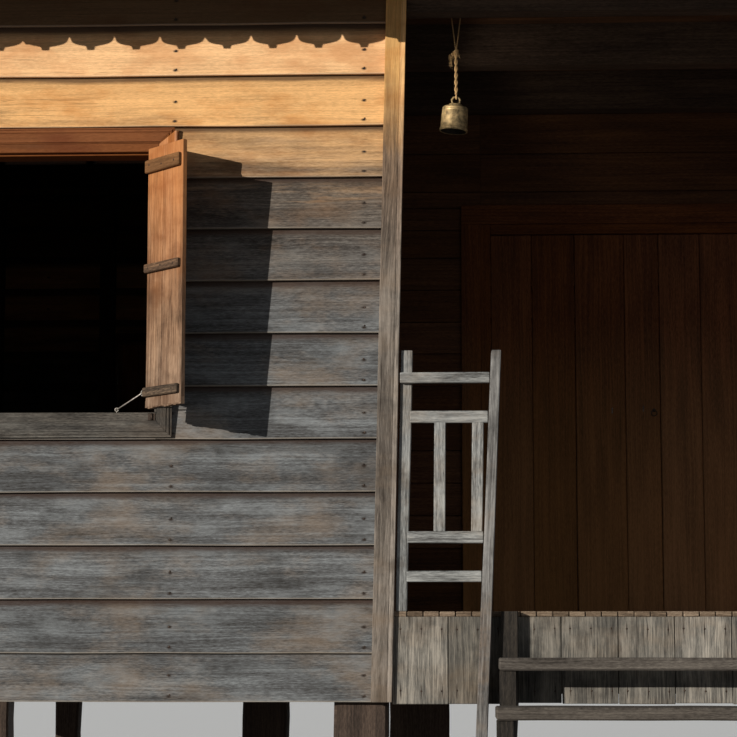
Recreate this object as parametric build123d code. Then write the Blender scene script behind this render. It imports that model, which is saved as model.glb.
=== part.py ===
from build123d import *
import os
from math import cos, radians, sin, sqrt, tan

# Plan, in millimetres. The front wall's outer face is y = 0 until everything is centred at the end.
house_width = 8700
house_depth = 6000
recess_half_width = 1320
recess_depth = 1870

# Levels
riser = 190
riser_count = 8
floor_board = 22
joist_height = 120
floor_beam_height = 200
wall_drop = 375
plate_rise = 3200
plate_height = 150

# Walls and their frame
wall_thickness = 45
post_side = 100
plate_width = 100
frame_clearance = 10
seat_clearance = 0.3

# Stilts
stilt_side = 220
hall_stilt_side = 300
prop_side = 138
wing_stilt_inset = 5
front_stilt_inset = 15
middle_stilt_offset = 686
rear_stilt_offset = 1010
hall_stilt_offset = 94
prop_offset = 960
prop_share = 0.65

# Floor frame
floor_beam_width = 120
joist_width = 60
joist_spacing = 610

# Skirt under the veranda's edge
skirt_thickness = 22
skirt_depth = 361
skirt_side_gap = 8
skirt_rail_height = 80

# Veranda ceiling
ceiling_beam_rise = 2570
ceiling_beam_height = 200
ceiling_beam_width = 100
ceiling_board = 20
middle_beam_share = 0.48

# Folding door
leaf_pitch = 428
leaf_count = 4
leaf_gap = 4
leaf_thickness = 35
leaf_top_rise = 1935
door_leaf_set_back = 5
door_frame_width = 50
door_frame_depth = 95
door_frame_proud = 10
door_casing_width = 99
door_casing_thickness = 22
ring_radius = 14
ring_wire = 2.5
ring_rise = 1030
ring_x = 33
ring_plate_radius = 9
ring_plate_thickness = 4
ring_eye_radius = 5
ring_eye_wire = 1.5

# Windows
window_offset = 23
window_width = 1080
sill_rise = 839
window_height = 1111
casing_width = 67
casing_thickness = 18
head_reveal = 50
sill_reveal = 40
side_reveal = 8
lining_depth = 110
lining_proud = 9

# Shutters
shutter_leaf_count = 4
shutter_thickness = 22
shutter_gap = 3
shutter_side_gap = 5
shutter_height = 1105
low_batten_height = 40
middle_batten_height = 36
high_batten_height = 54
batten_thickness = 18
batten_inset = 9
low_batten_rise = 50
middle_batten_rise = 572
high_batten_rise = 997
inner_leaf_angle = 68
inner_leaf_stand_off = 26.5
inner_leaf_offset = 10
outer_leaf_angle = 48
outer_leaf_overrun = 92
outer_leaf_drop = 55
inner_leaf_rise = 889
stay_radius = 3
stay_reach = 160

# Corner boards beside the veranda, which lean
corner_board_width = 88
corner_board_thickness = 25
corner_board_offset = 80
corner_board_lean = 1.26
outer_corner_width = 95

# Railing panels
railing_post_offset = 28
railing_post_width = 38
railing_post_depth = 60
railing_post_lean = 1.4
railing_post_height = 1098
rail_thickness = 28
top_rail_overhang = 8
top_rail_rise = 956
top_rail_height = 45
second_rail_rise = 789
second_rail_height = 50
third_rail_rise = 284
third_rail_height = 49
lowest_rail_rise = 122
lowest_rail_height = 46
baluster_width = 48
baluster_gap = 5

# Long leaning planks beside the stair
plank_width = 51
plank_head_width = 42
plank_depth = 120
plank_head_offset = 427
plank_head_rise = 1083
plank_lean = 2.62

# Stair
going = 230
nosing = 20
tread_thickness = 50
stringer_thickness = 66
stringer_throat = 120
stringer_head = 60
stair_plank_gap = 39
stair_splay = 4.5

# Bell
bell_offset = 288
bell_y = 400
bell_bottom_rise = 2135
bell_tilt = 5
bell_height = 113
bell_mouth_radius = 63
bell_shoulder_radius = 58
bell_band_height = 14
bell_band_proud = 2
bell_wall = 6
bell_neck_radius = 31
bell_neck_height = 10
bell_loop_radius = 18
bell_loop_wire = 4.5
rope_radius = 8
strand_radius = 3
strand_spread = 24
knot_rise = 2495
knot_radius = 12
bell_bar_radius = 10
bell_bar_rise = 2705
bell_bar_length = 120
bell_lug_width = 16
bell_lug_depth = 40
rope_ring_clearance = 0.5

# Roof
roof_pitch = 30
eave_overhang = 800
rafter_width = 50
rafter_depth = 100
rafter_spacing = 740
birdsmouth = 20
ridge_board_width = 40
ridge_board_depth = 170
hip_rafter_width = 60
roof_thickness = 60
cap_radius = 90
cap_wall = 14
cap_sides = 16
eave_board_thickness = 25
eave_board_depth = 170
tooth_pitch = 189
tooth_depth = 62
tooth_width = 26
tooth_neck = 8
shoulder_drop = 34
notch_width = 12

# Space that cutting shapes reach past what they cut
cut_margin = 1
far_away = 1000

# Worked out from the driving sizes
floor_top = riser * riser_count
half_width = house_width / 2
middle_y = house_depth / 2
joist_top = floor_top - floor_board
beam_top = joist_top - joist_height
stilt_top = beam_top - floor_beam_height
wall_bottom = floor_top - wall_drop
plate_top = floor_top + plate_rise
plate_bottom = plate_top - plate_height
inner_x = half_width - wall_thickness
inner_front = wall_thickness
inner_rear = house_depth - wall_thickness
hall_face = recess_depth
hall_inner = recess_depth + wall_thickness
slope = tan(radians(roof_pitch))
rafter_drop = rafter_depth / cos(radians(roof_pitch))
wall_top = plate_top - wall_thickness * slope - birdsmouth - frame_clearance
board_top = wall_top - corner_board_thickness * slope
opening_half = window_width / 2
opening_low = floor_top + sill_rise
opening_high = opening_low + window_height
ceiling_low = floor_top + ceiling_beam_rise
ceiling_top = ceiling_low + ceiling_beam_height
door_half = leaf_count * leaf_pitch / 2
door_head = floor_top + leaf_top_rise + leaf_gap
eave_x = half_width + eave_overhang
eave_y = house_depth / 2 + eave_overhang
eave_rafter_top = plate_top - (eave_overhang + wall_thickness) * slope + rafter_drop - birdsmouth
roof_rise = eave_y * slope
ridge_end = eave_x - eave_y
eave_board_top = eave_rafter_top + roof_thickness / 2
above_all = eave_rafter_top + roof_rise + far_away
wing_stilt_x = inner_x - wing_stilt_inset - stilt_side / 2
front_stilt_x = recess_half_width + front_stilt_inset + stilt_side / 2
middle_stilt_x = recess_half_width + middle_stilt_offset
rear_stilt_x = recess_half_width + rear_stilt_offset
hall_stilt_x = recess_half_width - hall_stilt_offset
prop_x = inner_x - prop_offset
prop_y = house_depth * prop_share
window_x = (recess_half_width + half_width) / 2 + window_offset
side_window_y = house_depth / 4
side_window_pitch = house_depth / 2
rear_window_pitch = window_x
skirt_half_width = recess_half_width - skirt_side_gap
middle_ceiling_beam_y = recess_depth * middle_beam_share
corner_board_foot_x = recess_half_width + corner_board_offset
railing_post_x = recess_half_width - railing_post_offset
plank_head_x = recess_half_width - plank_head_offset
stair_half_width = plank_head_x - stair_plank_gap
bell_x = recess_half_width - bell_offset
shutter_pitch = (window_width - 2 * shutter_side_gap + shutter_gap) / shutter_leaf_count
shutter_width = shutter_pitch - shutter_gap
first_tread_low = floor_top - riser - tread_thickness


def block(x, y, z):
    """Box between two (low, high) pairs on each axis."""
    return Pos((x[0] + x[1]) / 2, (y[0] + y[1]) / 2, (z[0] + z[1]) / 2) * Box(
        x[1] - x[0], y[1] - y[0], z[1] - z[0]
    )


def both_sides(solid):
    """The solid and its mirror image across the house's middle."""
    return [solid, mirror(solid, about=Plane.YZ)]


def prism(points, plane, direction, length):
    """Closed outline in a plane, pushed a length along a direction."""
    return extrude(make_face(plane * Polyline(*points, close=True)), length, dir=direction)


def upright(x, y, side, low, high):
    """Square post centred on x and y."""
    return block((x - side / 2, x + side / 2), (y - side / 2, y + side / 2), (low, high))


def make_stilts():
    """Posts from the ground to the floor beams: wings, veranda corners, hall and thin props."""
    front_y = inner_front + stilt_side / 2
    rear_y = inner_rear - stilt_side / 2
    middle = hall_inner + stilt_side / 2
    hall_y = hall_inner + hall_stilt_side / 2
    solids = []
    for x, y in (
        (wing_stilt_x, front_y),
        (front_stilt_x, front_y),
        (wing_stilt_x, middle),
        (middle_stilt_x, middle),
        (wing_stilt_x, rear_y),
        (rear_stilt_x, rear_y),
    ):
        solids += both_sides(upright(x, y, stilt_side, 0, stilt_top))
    for y in (hall_y, inner_rear - hall_stilt_side / 2):
        solids += both_sides(upright(hall_stilt_x, y, hall_stilt_side, 0, stilt_top))
    return solids + both_sides(upright(prop_x, prop_y, prop_side, 0, stilt_top))


def floor_beam_rows():
    """Middle line of each floor beam, front to back."""
    return (
        inner_front + stilt_side / 2,
        hall_inner + stilt_side / 2,
        prop_y,
        inner_rear - stilt_side / 2,
    )


def make_floor_beams():
    """Beams across the house on the stilts."""
    half = floor_beam_width / 2
    return [
        block((-inner_x, inner_x), (y - half, y + half), (stilt_top, beam_top))
        for y in floor_beam_rows()
    ]


def make_floor_joists():
    """Joists from front to back on the beams."""
    reach = inner_x - joist_width / 2
    count = int(2 * reach / joist_spacing)
    step = 2 * reach / count
    half = joist_width / 2
    return [
        block(
            (-reach + i * step - half, -reach + i * step + half),
            (inner_front, inner_rear),
            (beam_top, joist_top),
        )
        for i in range(count + 1)
    ]


def make_room_floor():
    """Floor of the hall and of both wings, round the veranda."""
    levels = (joist_top, floor_top)
    hall = block((-inner_x, inner_x), (hall_face, inner_rear), levels)
    wings = both_sides(block((recess_half_width, inner_x), (inner_front, hall_face), levels))
    return [hall + wings[0] + wings[1]]


def make_veranda_floor():
    """Floor of the recess, its board ends flush with the skirt's face."""
    half = recess_half_width - frame_clearance / 2
    return [block((-half, half), (0, hall_face - frame_clearance / 2), (joist_top, floor_top))]


def make_skirt():
    """Upright boards that close the veranda floor's edge, with the rail they are nailed to."""
    across = (-skirt_half_width, skirt_half_width)
    boards = block(across, (0, skirt_thickness), (joist_top - skirt_depth, joist_top))
    rail = block(across, (skirt_thickness, inner_front), (joist_top - skirt_rail_height, joist_top))
    return [boards + rail]


def lapped_wall(x, y):
    """Envelope of a lapped-board wall on the floor frame's outside."""
    return block(x, y, (wall_bottom, wall_top))


def front_opening(x, thickness):
    """Window hole through a wall that faces the front or the rear."""
    low = x - opening_half - side_reveal
    high = x + opening_half + side_reveal
    return block((low, high), thickness, (opening_low - sill_reveal, opening_high + head_reveal))


def side_opening(y, thickness):
    """Window hole through a side wall."""
    low = y - opening_half - side_reveal
    high = y + opening_half + side_reveal
    return block(thickness, (low, high), (opening_low - sill_reveal, opening_high + head_reveal))


def make_front_wall():
    """Left wing's front wall with its window."""
    wall = lapped_wall((-half_width, -recess_half_width), (0, wall_thickness))
    return wall - front_opening(-window_x, (-cut_margin, wall_thickness + cut_margin))


def side_window_rows():
    """Middle of each window along a side wall."""
    return (side_window_y, side_window_y + side_window_pitch)


def make_side_wall():
    """Right side wall with its windows, between the front and rear walls."""
    wall = lapped_wall((inner_x, half_width), (inner_front, inner_rear))
    for y in side_window_rows():
        wall = wall - side_opening(y, (inner_x - cut_margin, half_width + cut_margin))
    return wall


def rear_window_places():
    """Middle of each window along the rear wall."""
    return (-rear_window_pitch, 0, rear_window_pitch)


def make_rear_wall():
    """Rear wall with its windows."""
    wall = lapped_wall((-half_width, half_width), (inner_rear, house_depth))
    for x in rear_window_places():
        wall = wall - front_opening(x, (inner_rear - cut_margin, house_depth + cut_margin))
    return wall


def make_veranda_side_walls():
    """Walls between the veranda and the wings."""
    wall = block(
        (recess_half_width, recess_half_width + wall_thickness),
        (inner_front, hall_face),
        (floor_top, plate_bottom),
    )
    return both_sides(wall)


def make_front_frieze():
    """Boards above the veranda's front beam."""
    return [
        block((-recess_half_width, recess_half_width), (0, wall_thickness), (ceiling_top, wall_top))
    ]


def make_hall_wall_sides():
    """Hall's front wall beside the folding door."""
    wall = block(
        (door_half + door_frame_width, recess_half_width + wall_thickness),
        (hall_face, hall_inner),
        (floor_top, wall_top),
    )
    return both_sides(wall)


def make_hall_wall_over_door():
    """Hall's front wall above the folding door."""
    half = door_half + door_frame_width
    return [
        block((-half, half), (hall_face, hall_inner), (door_head + door_frame_width, wall_top))
    ]


def make_wall_posts():
    """Posts inside the walls, on the floor and under the plates."""
    near = inner_front + post_side / 2
    far = inner_rear - post_side / 2
    corner = inner_x - post_side / 2
    jamb = opening_half + side_reveal + frame_clearance + post_side / 2
    veranda = recess_half_width + wall_thickness + post_side / 2
    hall = hall_inner + post_side / 2
    door = door_half + door_frame_width + post_side / 2
    places = [(corner, near), (corner, far), (veranda, near), (veranda, hall), (door, hall)]
    places += [(window_x - jamb, near), (window_x + jamb, near)]
    places += [(jamb, far), (rear_window_pitch - jamb, far), (rear_window_pitch + jamb, far)]
    for y in side_window_rows():
        places += [(corner, y - jamb), (corner, y + jamb)]
    solids = []
    for x, y in places:
        solids += both_sides(upright(x, y, post_side, floor_top, plate_bottom))
    return solids


def make_wall_plates():
    """Plates on the posts, butted at the corners, and the plate over the hall's front wall."""
    levels = (plate_bottom, plate_top)
    front = block((-inner_x, inner_x), (inner_front, inner_front + plate_width), levels)
    rear = block((-inner_x, inner_x), (inner_rear - plate_width, inner_rear), levels)
    side = block(
        (inner_x - plate_width, inner_x),
        (inner_front + plate_width, inner_rear - plate_width),
        levels,
    )
    hall = block(
        (-inner_x + plate_width, inner_x - plate_width),
        (hall_inner, hall_inner + plate_width),
        levels,
    )
    return [front + rear + hall + side + mirror(side, about=Plane.YZ)]


def make_veranda_beams():
    """Beams across the veranda: at its front, in the middle and against the hall's wall."""
    half = recess_half_width
    levels = (ceiling_low, ceiling_top)
    middle = middle_ceiling_beam_y
    rows = (
        (0, ceiling_beam_width),
        (middle, middle + ceiling_beam_width),
        (hall_face - ceiling_beam_width, hall_face),
    )
    return [block((-half, half), row, levels) for row in rows]


def make_veranda_ceiling():
    """Ceiling boards on the veranda's beams."""
    return [
        block(
            (-recess_half_width, recess_half_width),
            (wall_thickness, hall_face),
            (ceiling_top, ceiling_top + ceiling_board),
        )
    ]


def leaning_board(width, depth, low, high, foot_x, front, lean):
    """Board that leans towards the middle of the house as it rises, left of the middle."""
    shift = (high - low) * tan(radians(lean))
    points = [
        (foot_x, low),
        (foot_x + width, low),
        (foot_x + width + shift, high),
        (foot_x + shift, high),
    ]
    return Pos(0, front, 0) * prism(points, Plane.XZ, (0, 1, 0), depth)


def make_corner_boards():
    """Leaning boards on the wall ends beside the veranda."""
    board = leaning_board(
        corner_board_width,
        corner_board_thickness,
        wall_bottom,
        board_top,
        -corner_board_foot_x,
        -corner_board_thickness,
        corner_board_lean,
    )
    return both_sides(board)


def make_outer_corner_boards():
    """Boards round the house's four outer corners."""
    t = corner_board_thickness
    w = outer_corner_width
    levels = (wall_bottom, board_top)
    solids = []
    for y, turn in ((0, -1), (house_depth, 1)):
        ys = sorted((y, y + turn * t))
        front = block((half_width - w, half_width + t), ys, levels)
        ys = sorted((y, y - turn * (w - t)))
        side = block((half_width, half_width + t), ys, levels)
        solids += both_sides(front + side)
    return solids


def window_frame():
    """Casing and lining of a window in the plane y = 0, centred on x = 0."""
    half = opening_half + side_reveal
    low = opening_low - sill_reveal
    high = opening_high + head_reveal
    casing = block(
        (-half - casing_width, half + casing_width),
        (-casing_thickness, 0),
        (low - casing_width, high + casing_width),
    )
    casing -= block((-half, half), (-casing_thickness, 0), (low, high))
    lining = block((-half, half), (-lining_proud, lining_depth), (low, high))
    hole = (-lining_proud, lining_depth)
    lining -= block((-opening_half, opening_half), hole, (opening_low, opening_high))
    return casing + lining


def on_rear(solid):
    """Turns something made for the plane y = 0 to face the rear, at the rear wall."""
    return Pos(0, house_depth, 0) * Rot(0, 0, 180) * solid


def on_right(solid):
    """Turns something made for the plane y = 0 to face the right side, at that wall."""
    return Pos(half_width, 0, 0) * Rot(0, 0, 90) * solid


def make_front_window_frames():
    """Frames of the two front windows."""
    return both_sides(Pos(-window_x, 0, 0) * window_frame())


def make_side_window_frames():
    """Frames of the windows in both side walls."""
    solids = []
    for y in side_window_rows():
        solids += both_sides(Pos(0, y, 0) * on_right(window_frame()))
    return solids


def make_rear_window_frames():
    """Frames of the windows in the rear wall."""
    return [Pos(x, 0, 0) * on_rear(window_frame()) for x in rear_window_places()]


def shutter_leaf():
    """Leaf from x = 0 to its width, its inner face at y = 0, with three battens outside."""
    leaf = block((0, shutter_width), (-shutter_thickness, 0), (0, shutter_height))
    across = (batten_inset, shutter_width - batten_inset)
    depth = (-shutter_thickness - batten_thickness, -shutter_thickness)
    for rise, height in (
        (low_batten_rise, low_batten_height),
        (middle_batten_rise, middle_batten_height),
        (high_batten_rise, high_batten_height),
    ):
        leaf += block(across, depth, (rise, rise + height))
    return leaf


def closed_shutters():
    """The four leaves of a closed window in the plane y = 0, centred on x = 0."""
    leaf = shutter_leaf()
    start = -window_width / 2 + shutter_side_gap
    low = opening_low + seat_clearance
    return [
        Pos(start + i * shutter_pitch, shutter_thickness, low) * leaf
        for i in range(shutter_leaf_count)
    ]


def inner_leaf_place():
    """Where the leaf on the jamb stands, for a leaf that runs to -x from its hinge."""
    turn = Rot(0, 0, 180 - inner_leaf_angle)
    hinge_x = opening_half + inner_leaf_offset
    return Pos(hinge_x, -inner_leaf_stand_off, floor_top + inner_leaf_rise) * turn


def outer_leaf_place():
    """Where the folded leaf stands: its inner face against the free edge of the first one."""
    across = radians(inner_leaf_angle)
    back = radians(outer_leaf_angle)
    end_x = opening_half + inner_leaf_offset + shutter_width * cos(across)
    end_y = -inner_leaf_stand_off - shutter_width * sin(across)
    near_x = end_x + outer_leaf_overrun * cos(back) - seat_clearance * sin(back)
    near_y = end_y - outer_leaf_overrun * sin(back) - seat_clearance * cos(back)
    low = floor_top + inner_leaf_rise - outer_leaf_drop
    return Pos(near_x, near_y, low) * Rot(0, 0, -outer_leaf_angle)


def all_front_pairs(solid):
    """Something at the right-hand jamb of a window centred on x = 0, at all four front jambs."""
    pair = [Pos(-window_x, 0, 0) * piece for piece in both_sides(solid)]
    return pair + [mirror(piece, about=Plane.YZ) for piece in pair]


def make_front_shutters():
    """Open shutters of both front windows, each pair swung out and folded back."""
    leaf = mirror(shutter_leaf(), about=Plane.YZ)
    return all_front_pairs(inner_leaf_place() * leaf) + all_front_pairs(outer_leaf_place() * leaf)


def make_shutter_stays():
    """Hooked rods from the sills to the lowest battens of the folded leaves."""
    batten_end = Pos(
        -(shutter_width - batten_inset) - seat_clearance - stay_radius,
        -shutter_thickness - batten_thickness / 2,
        low_batten_rise + low_batten_height / 2,
    )
    head = (outer_leaf_place() * batten_end).position
    sill = opening_low + seat_clearance + stay_radius
    foot = Vector(opening_half - stay_reach, -lining_proud + stay_radius, sill)
    path = Line(foot, head)
    rod = sweep(Plane(origin=path @ 0, z_dir=path % 0) * Circle(stay_radius), path)
    return all_front_pairs(rod)


def make_side_shutters():
    """Closed shutters of the side windows."""
    solids = []
    for y in side_window_rows():
        for leaf in closed_shutters():
            solids += both_sides(Pos(0, y, 0) * on_right(leaf))
    return solids


def make_rear_shutters():
    """Closed shutters of the rear windows."""
    return [Pos(x, 0, 0) * on_rear(leaf) for x in rear_window_places() for leaf in closed_shutters()]


def make_door_frame():
    """Frame round the folding door with the casing on the wall's face."""
    half = door_half + door_frame_width
    high = door_head + door_frame_width
    depth = (hall_face - door_frame_proud, hall_face + door_frame_depth)
    frame = block((-half, half), depth, (floor_top, high))
    frame -= block((-door_half, door_half), depth, (floor_top, door_head))
    casing = block(
        (-half - door_casing_width, half + door_casing_width),
        (hall_face - door_casing_thickness, hall_face),
        (floor_top, high + door_casing_width),
    )
    casing -= block((-half, half), (hall_face - door_casing_thickness, hall_face), (floor_top, high))
    return [frame + casing]


def door_leaf_face():
    """Front face of the door's leaves, a little behind the frame's front."""
    return hall_face + door_leaf_set_back


def make_door_leaves():
    """The folding door's leaves, closed and standing on the floor."""
    width = leaf_pitch - leaf_gap
    face = door_leaf_face()
    levels = (floor_top + seat_clearance, floor_top + leaf_top_rise)
    starts = [-door_half + i * leaf_pitch + leaf_gap / 2 for i in range(leaf_count)]
    return [block((x, x + width), (face, face + leaf_thickness), levels) for x in starts]


def make_ring_pull():
    """Ring in an eye on a round plate, on the leaf beside the door's middle."""
    facing = Rot(90, 0, 0)
    z = floor_top + ring_rise
    front = door_leaf_face() - ring_plate_thickness
    plate = Pos(-ring_x, front + ring_plate_thickness / 2, z) * facing
    plate = plate * Cylinder(ring_plate_radius, ring_plate_thickness)
    eye_y = front - ring_eye_radius + ring_eye_wire
    eye = Pos(-ring_x, eye_y, z) * Rot(0, 90, 0) * Torus(ring_eye_radius, ring_eye_wire)
    room = ring_eye_radius - ring_eye_wire - ring_wire
    top = z - room + seat_clearance
    ring = Pos(-ring_x, eye_y, top - ring_radius) * facing * Torus(ring_radius, ring_wire)
    return [plate + eye, ring]


def plank_left_edge(z):
    """Left edge of the leaning plank at a height, left of the middle."""
    return -plank_head_x - (floor_top + plank_head_rise - z) * tan(radians(plank_lean))


def post_right_edge(z):
    """Right edge of the railing's leaning post at a height, left of the middle."""
    return -railing_post_x + railing_post_width + (z - floor_top) * tan(radians(railing_post_lean))


def make_stair_planks():
    """Long tapered planks from the ground to the railing's top, on the skirt's face."""
    high = floor_top + plank_head_rise
    foot = plank_left_edge(0)
    head = plank_left_edge(high)
    points = [(foot, 0), (foot + plank_width, 0), (head + plank_head_width, high), (head, high)]
    return both_sides(prism(points, Plane.XZ, (0, -1, 0), plank_depth))


def rail(rise, height, front, lap):
    """Rail from the leaning post to the leaning plank, running over the post by a lap."""
    low = floor_top + rise
    high = low + height
    points = [
        (post_right_edge(low) - lap, low),
        (plank_left_edge(low), low),
        (plank_left_edge(high), high),
        (post_right_edge(high) - lap, high),
    ]
    return Pos(0, front, 0) * prism(points, Plane.XZ, (0, 1, 0), rail_thickness)


def make_railing():
    """Left railing panel: a leaning post, four rails and two balusters, all joined."""
    panel = leaning_board(
        railing_post_width,
        railing_post_depth,
        floor_top,
        floor_top + railing_post_height,
        -railing_post_x,
        0,
        railing_post_lean,
    )
    front = -rail_thickness / 2
    lap = railing_post_width + top_rail_overhang
    panel += rail(top_rail_rise, top_rail_height, -rail_thickness, lap)
    panel += rail(second_rail_rise, second_rail_height, front, 0)
    panel += rail(third_rail_rise, third_rail_height, front, 0)
    panel += rail(lowest_rail_rise, lowest_rail_height, front, 0)
    levels = (floor_top + third_rail_rise + third_rail_height, floor_top + second_rail_rise)
    last = plank_left_edge(levels[0]) - baluster_gap - baluster_width
    first = (post_right_edge(levels[0]) + last - baluster_width) / 2
    for x in (first, last):
        panel += block((x, x + baluster_width), (front, front + rail_thickness), levels)
    return panel


def splay(y):
    """How far each side of the stair has spread at a distance in front of the house."""
    return y * tan(radians(stair_splay))


def make_stair_stringers():
    """Two cut stringers up to the floor that spread downwards, with a step under each tread."""
    tread_count = riser_count - 1
    points = [(0, floor_top), (-stringer_head, floor_top), (-stringer_head, first_tread_low)]
    for i in range(tread_count):
        low = first_tread_low - i * riser
        points += [(-(i + 1) * going, low), (-(i + 1) * going, low - riser)]
    points[-1] = (-tread_count * going, 0)
    pitch_length = sqrt(going**2 + riser**2)
    throat = stringer_throat * pitch_length / going
    low_edge = first_tread_low - throat
    points += [(-low_edge * going / riser, 0), (0, low_edge)]
    reach = tread_count * going
    side = Pos(-house_width / 2, 0, 0) * prism(points, Plane.YZ, (1, 0, 0), house_width / 2)
    inner = stair_half_width - stringer_thickness
    plan = [
        (-stair_half_width, 0),
        (-inner, 0),
        (-inner - splay(reach), -reach),
        (-stair_half_width - splay(reach), -reach),
    ]
    return both_sides(side & prism(plan, Plane.XY, (0, 0, 1), floor_top))


def make_stair_treads():
    """Treads on the stringers' steps, wider towards the ground."""
    solids = []
    for i in range(1, riser_count):
        top = floor_top - i * riser
        half = stair_half_width + splay(i * going)
        back = stringer_head + seat_clearance if i == 1 else (i - 1) * going
        depth = (-i * going - nosing, -back)
        solids.append(block((-half, half), depth, (top - tread_thickness, top)))
    return solids


def make_bell():
    """Hollow bell with a band at its mouth, a neck plate and a loop, hung a little askew."""
    t = bell_wall
    neck = bell_height + bell_neck_height
    outline = [
        (0, bell_height - t),
        (bell_shoulder_radius - t, bell_height - t),
        (bell_mouth_radius - t, 0),
        (bell_mouth_radius, 0),
        (bell_mouth_radius, bell_band_height),
        (bell_mouth_radius - bell_band_proud, bell_band_height + bell_band_proud),
        (bell_shoulder_radius, bell_height - bell_band_height),
        (bell_shoulder_radius, bell_height - t),
        (bell_shoulder_radius - t, bell_height),
        (bell_neck_radius, bell_height),
        (bell_neck_radius, neck),
        (0, neck),
    ]
    body = revolve(make_face(Plane.XZ * Polyline(*outline, close=True)), Axis.Z, 360)
    body += Pos(0, 0, neck + bell_loop_radius) * Rot(90, 0, 0) * Torus(bell_loop_radius, bell_loop_wire)
    hung = neck + 2 * bell_loop_radius
    body = Pos(0, 0, hung) * Rot(0, bell_tilt, 0) * Pos(0, 0, -hung) * body
    return [Pos(-bell_x, bell_y, floor_top + bell_bottom_rise) * body]


def strand(start, end, radius):
    """Straight round strand between two points."""
    path = Line(start, end)
    return sweep(Plane(origin=path @ 0, z_dir=path % 0) * Circle(radius), path)


def make_bell_rope():
    """Rope of the bell: rings on the bar, two strands, a knot, a twisted length and a ring."""
    hook = floor_top + bell_bottom_rise + bell_height + bell_neck_height + 2 * bell_loop_radius
    low_ring = bell_loop_wire + seat_clearance + strand_radius
    knot = (-bell_x, bell_y, floor_top + knot_rise)
    rope = Pos(-bell_x, bell_y, hook) * Rot(0, 90, 0) * Torus(low_ring, strand_radius)
    rope += strand((-bell_x, bell_y, hook + low_ring), knot, rope_radius)
    rope += Pos(*knot) * Sphere(knot_radius)
    bar = floor_top + bell_bar_rise
    ring_radius = bell_bar_radius + rope_ring_clearance + strand_radius
    for side in (-1, 1):
        x = -bell_x + side * strand_spread
        rope += Pos(x, bell_y, bar) * Rot(0, 90, 0) * Torus(ring_radius, strand_radius)
        rope += strand((x, bell_y, bar - ring_radius), knot, strand_radius)
    return [rope]


def make_bell_bar():
    """Round bar under the ceiling that the rope's rings hang on, with its two lugs."""
    z = floor_top + bell_bar_rise
    half = bell_bar_length / 2
    bar = Pos(-bell_x, bell_y, z) * Rot(0, 90, 0) * Cylinder(bell_bar_radius, bell_bar_length)
    lug_y = (bell_y - bell_lug_depth / 2, bell_y + bell_lug_depth / 2)
    for side in (-1, 1):
        inner = -bell_x + side * half
        lug_x = sorted((inner, inner + side * bell_lug_width))
        bar += block(lug_x, lug_y, (z - bell_lug_depth / 2, ceiling_top))
    return [bar]


def roof_strip(low, high):
    """Long prism under the front roof slope between two heights above the rafters' top plane."""
    edge = eave_y
    points = [
        (-edge, eave_rafter_top + low),
        (0, eave_rafter_top + roof_rise + low),
        (0, eave_rafter_top + roof_rise + high),
        (-edge, eave_rafter_top + high),
    ]
    return Pos(-eave_x, middle_y, 0) * prism(points, Plane.YZ, (1, 0, 0), 2 * eave_x)


def end_strip(low, high):
    """The same prism under the right-hand hip slope."""
    points = [
        (eave_x, eave_rafter_top + low),
        (eave_x - eave_y, eave_rafter_top + roof_rise + low),
        (eave_x - eave_y, eave_rafter_top + roof_rise + high),
        (eave_x, eave_rafter_top + high),
    ]
    return Pos(0, middle_y - eave_y, 0) * prism(points, Plane.XZ, (0, 1, 0), 2 * eave_y)


def slope_plan(inset, ridge_gap):
    """Plan of the front slope, kept back from the hips and from the ridge."""
    diagonal = inset * sqrt(2)
    far = eave_y - ridge_gap
    points = [
        (-eave_x + diagonal, -eave_y),
        (eave_x - diagonal, -eave_y),
        (eave_x - diagonal - far, -ridge_gap),
        (-eave_x + diagonal + far, -ridge_gap),
    ]
    return Pos(0, middle_y, 0) * prism(points, Plane.XY, (0, 0, 1), above_all)


def end_plan(inset):
    """Plan of the right-hand hip slope, kept back from the hips."""
    diagonal = inset * sqrt(2)
    points = [
        (eave_x, -eave_y + diagonal),
        (eave_x, eave_y - diagonal),
        (eave_x - eave_y + diagonal, 0),
    ]
    return Pos(0, middle_y, 0) * prism(points, Plane.XY, (0, 0, 1), above_all)


def front_to_rear(solid):
    """Mirror image across the middle between front and rear."""
    return mirror(solid, about=Plane.XZ.offset(-middle_y))


def make_front_slope():
    """Covering of the front slope."""
    return roof_strip(0, roof_thickness) & slope_plan(0, 0)


def make_roof_hips():
    """Covering of the two hip ends."""
    end = end_strip(0, roof_thickness) & end_plan(0)
    return both_sides(end)


def evenly(reach, spacing):
    """Places from minus to plus reach, about a spacing apart."""
    count = int(2 * reach / spacing)
    return [-reach + 2 * reach * i / count for i in range(count + 1)]


def plate_space():
    """Space that the wall plates take out of the rafters on them."""
    outer = block((-inner_x, inner_x), (inner_front, inner_rear), (plate_bottom, plate_top))
    hollow = block(
        (-inner_x + plate_width, inner_x - plate_width),
        (inner_front + plate_width, inner_rear - plate_width),
        (plate_bottom, plate_top),
    )
    return outer - hollow


def make_rafters():
    """Common and jack rafters of all four slopes, notched over the wall plates."""
    inset = hip_rafter_width / 2
    notch = plate_space()
    front = roof_strip(-rafter_drop, 0) & slope_plan(inset, ridge_board_width / 2)
    front = front - notch
    half = rafter_width / 2
    solids = []
    for x in evenly(eave_x - rafter_spacing, rafter_spacing):
        piece = front & block((x - half, x + half), (-eave_overhang, middle_y), (0, above_all))
        solids += [piece, front_to_rear(piece)]
    end = end_strip(-rafter_drop, 0) & end_plan(inset)
    end = end - notch
    for y in evenly(eave_y - rafter_spacing, rafter_spacing):
        rows = (middle_y + y - half, middle_y + y + half)
        solids += both_sides(end & block((0, eave_x), rows, (0, above_all)))
    return solids


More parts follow.
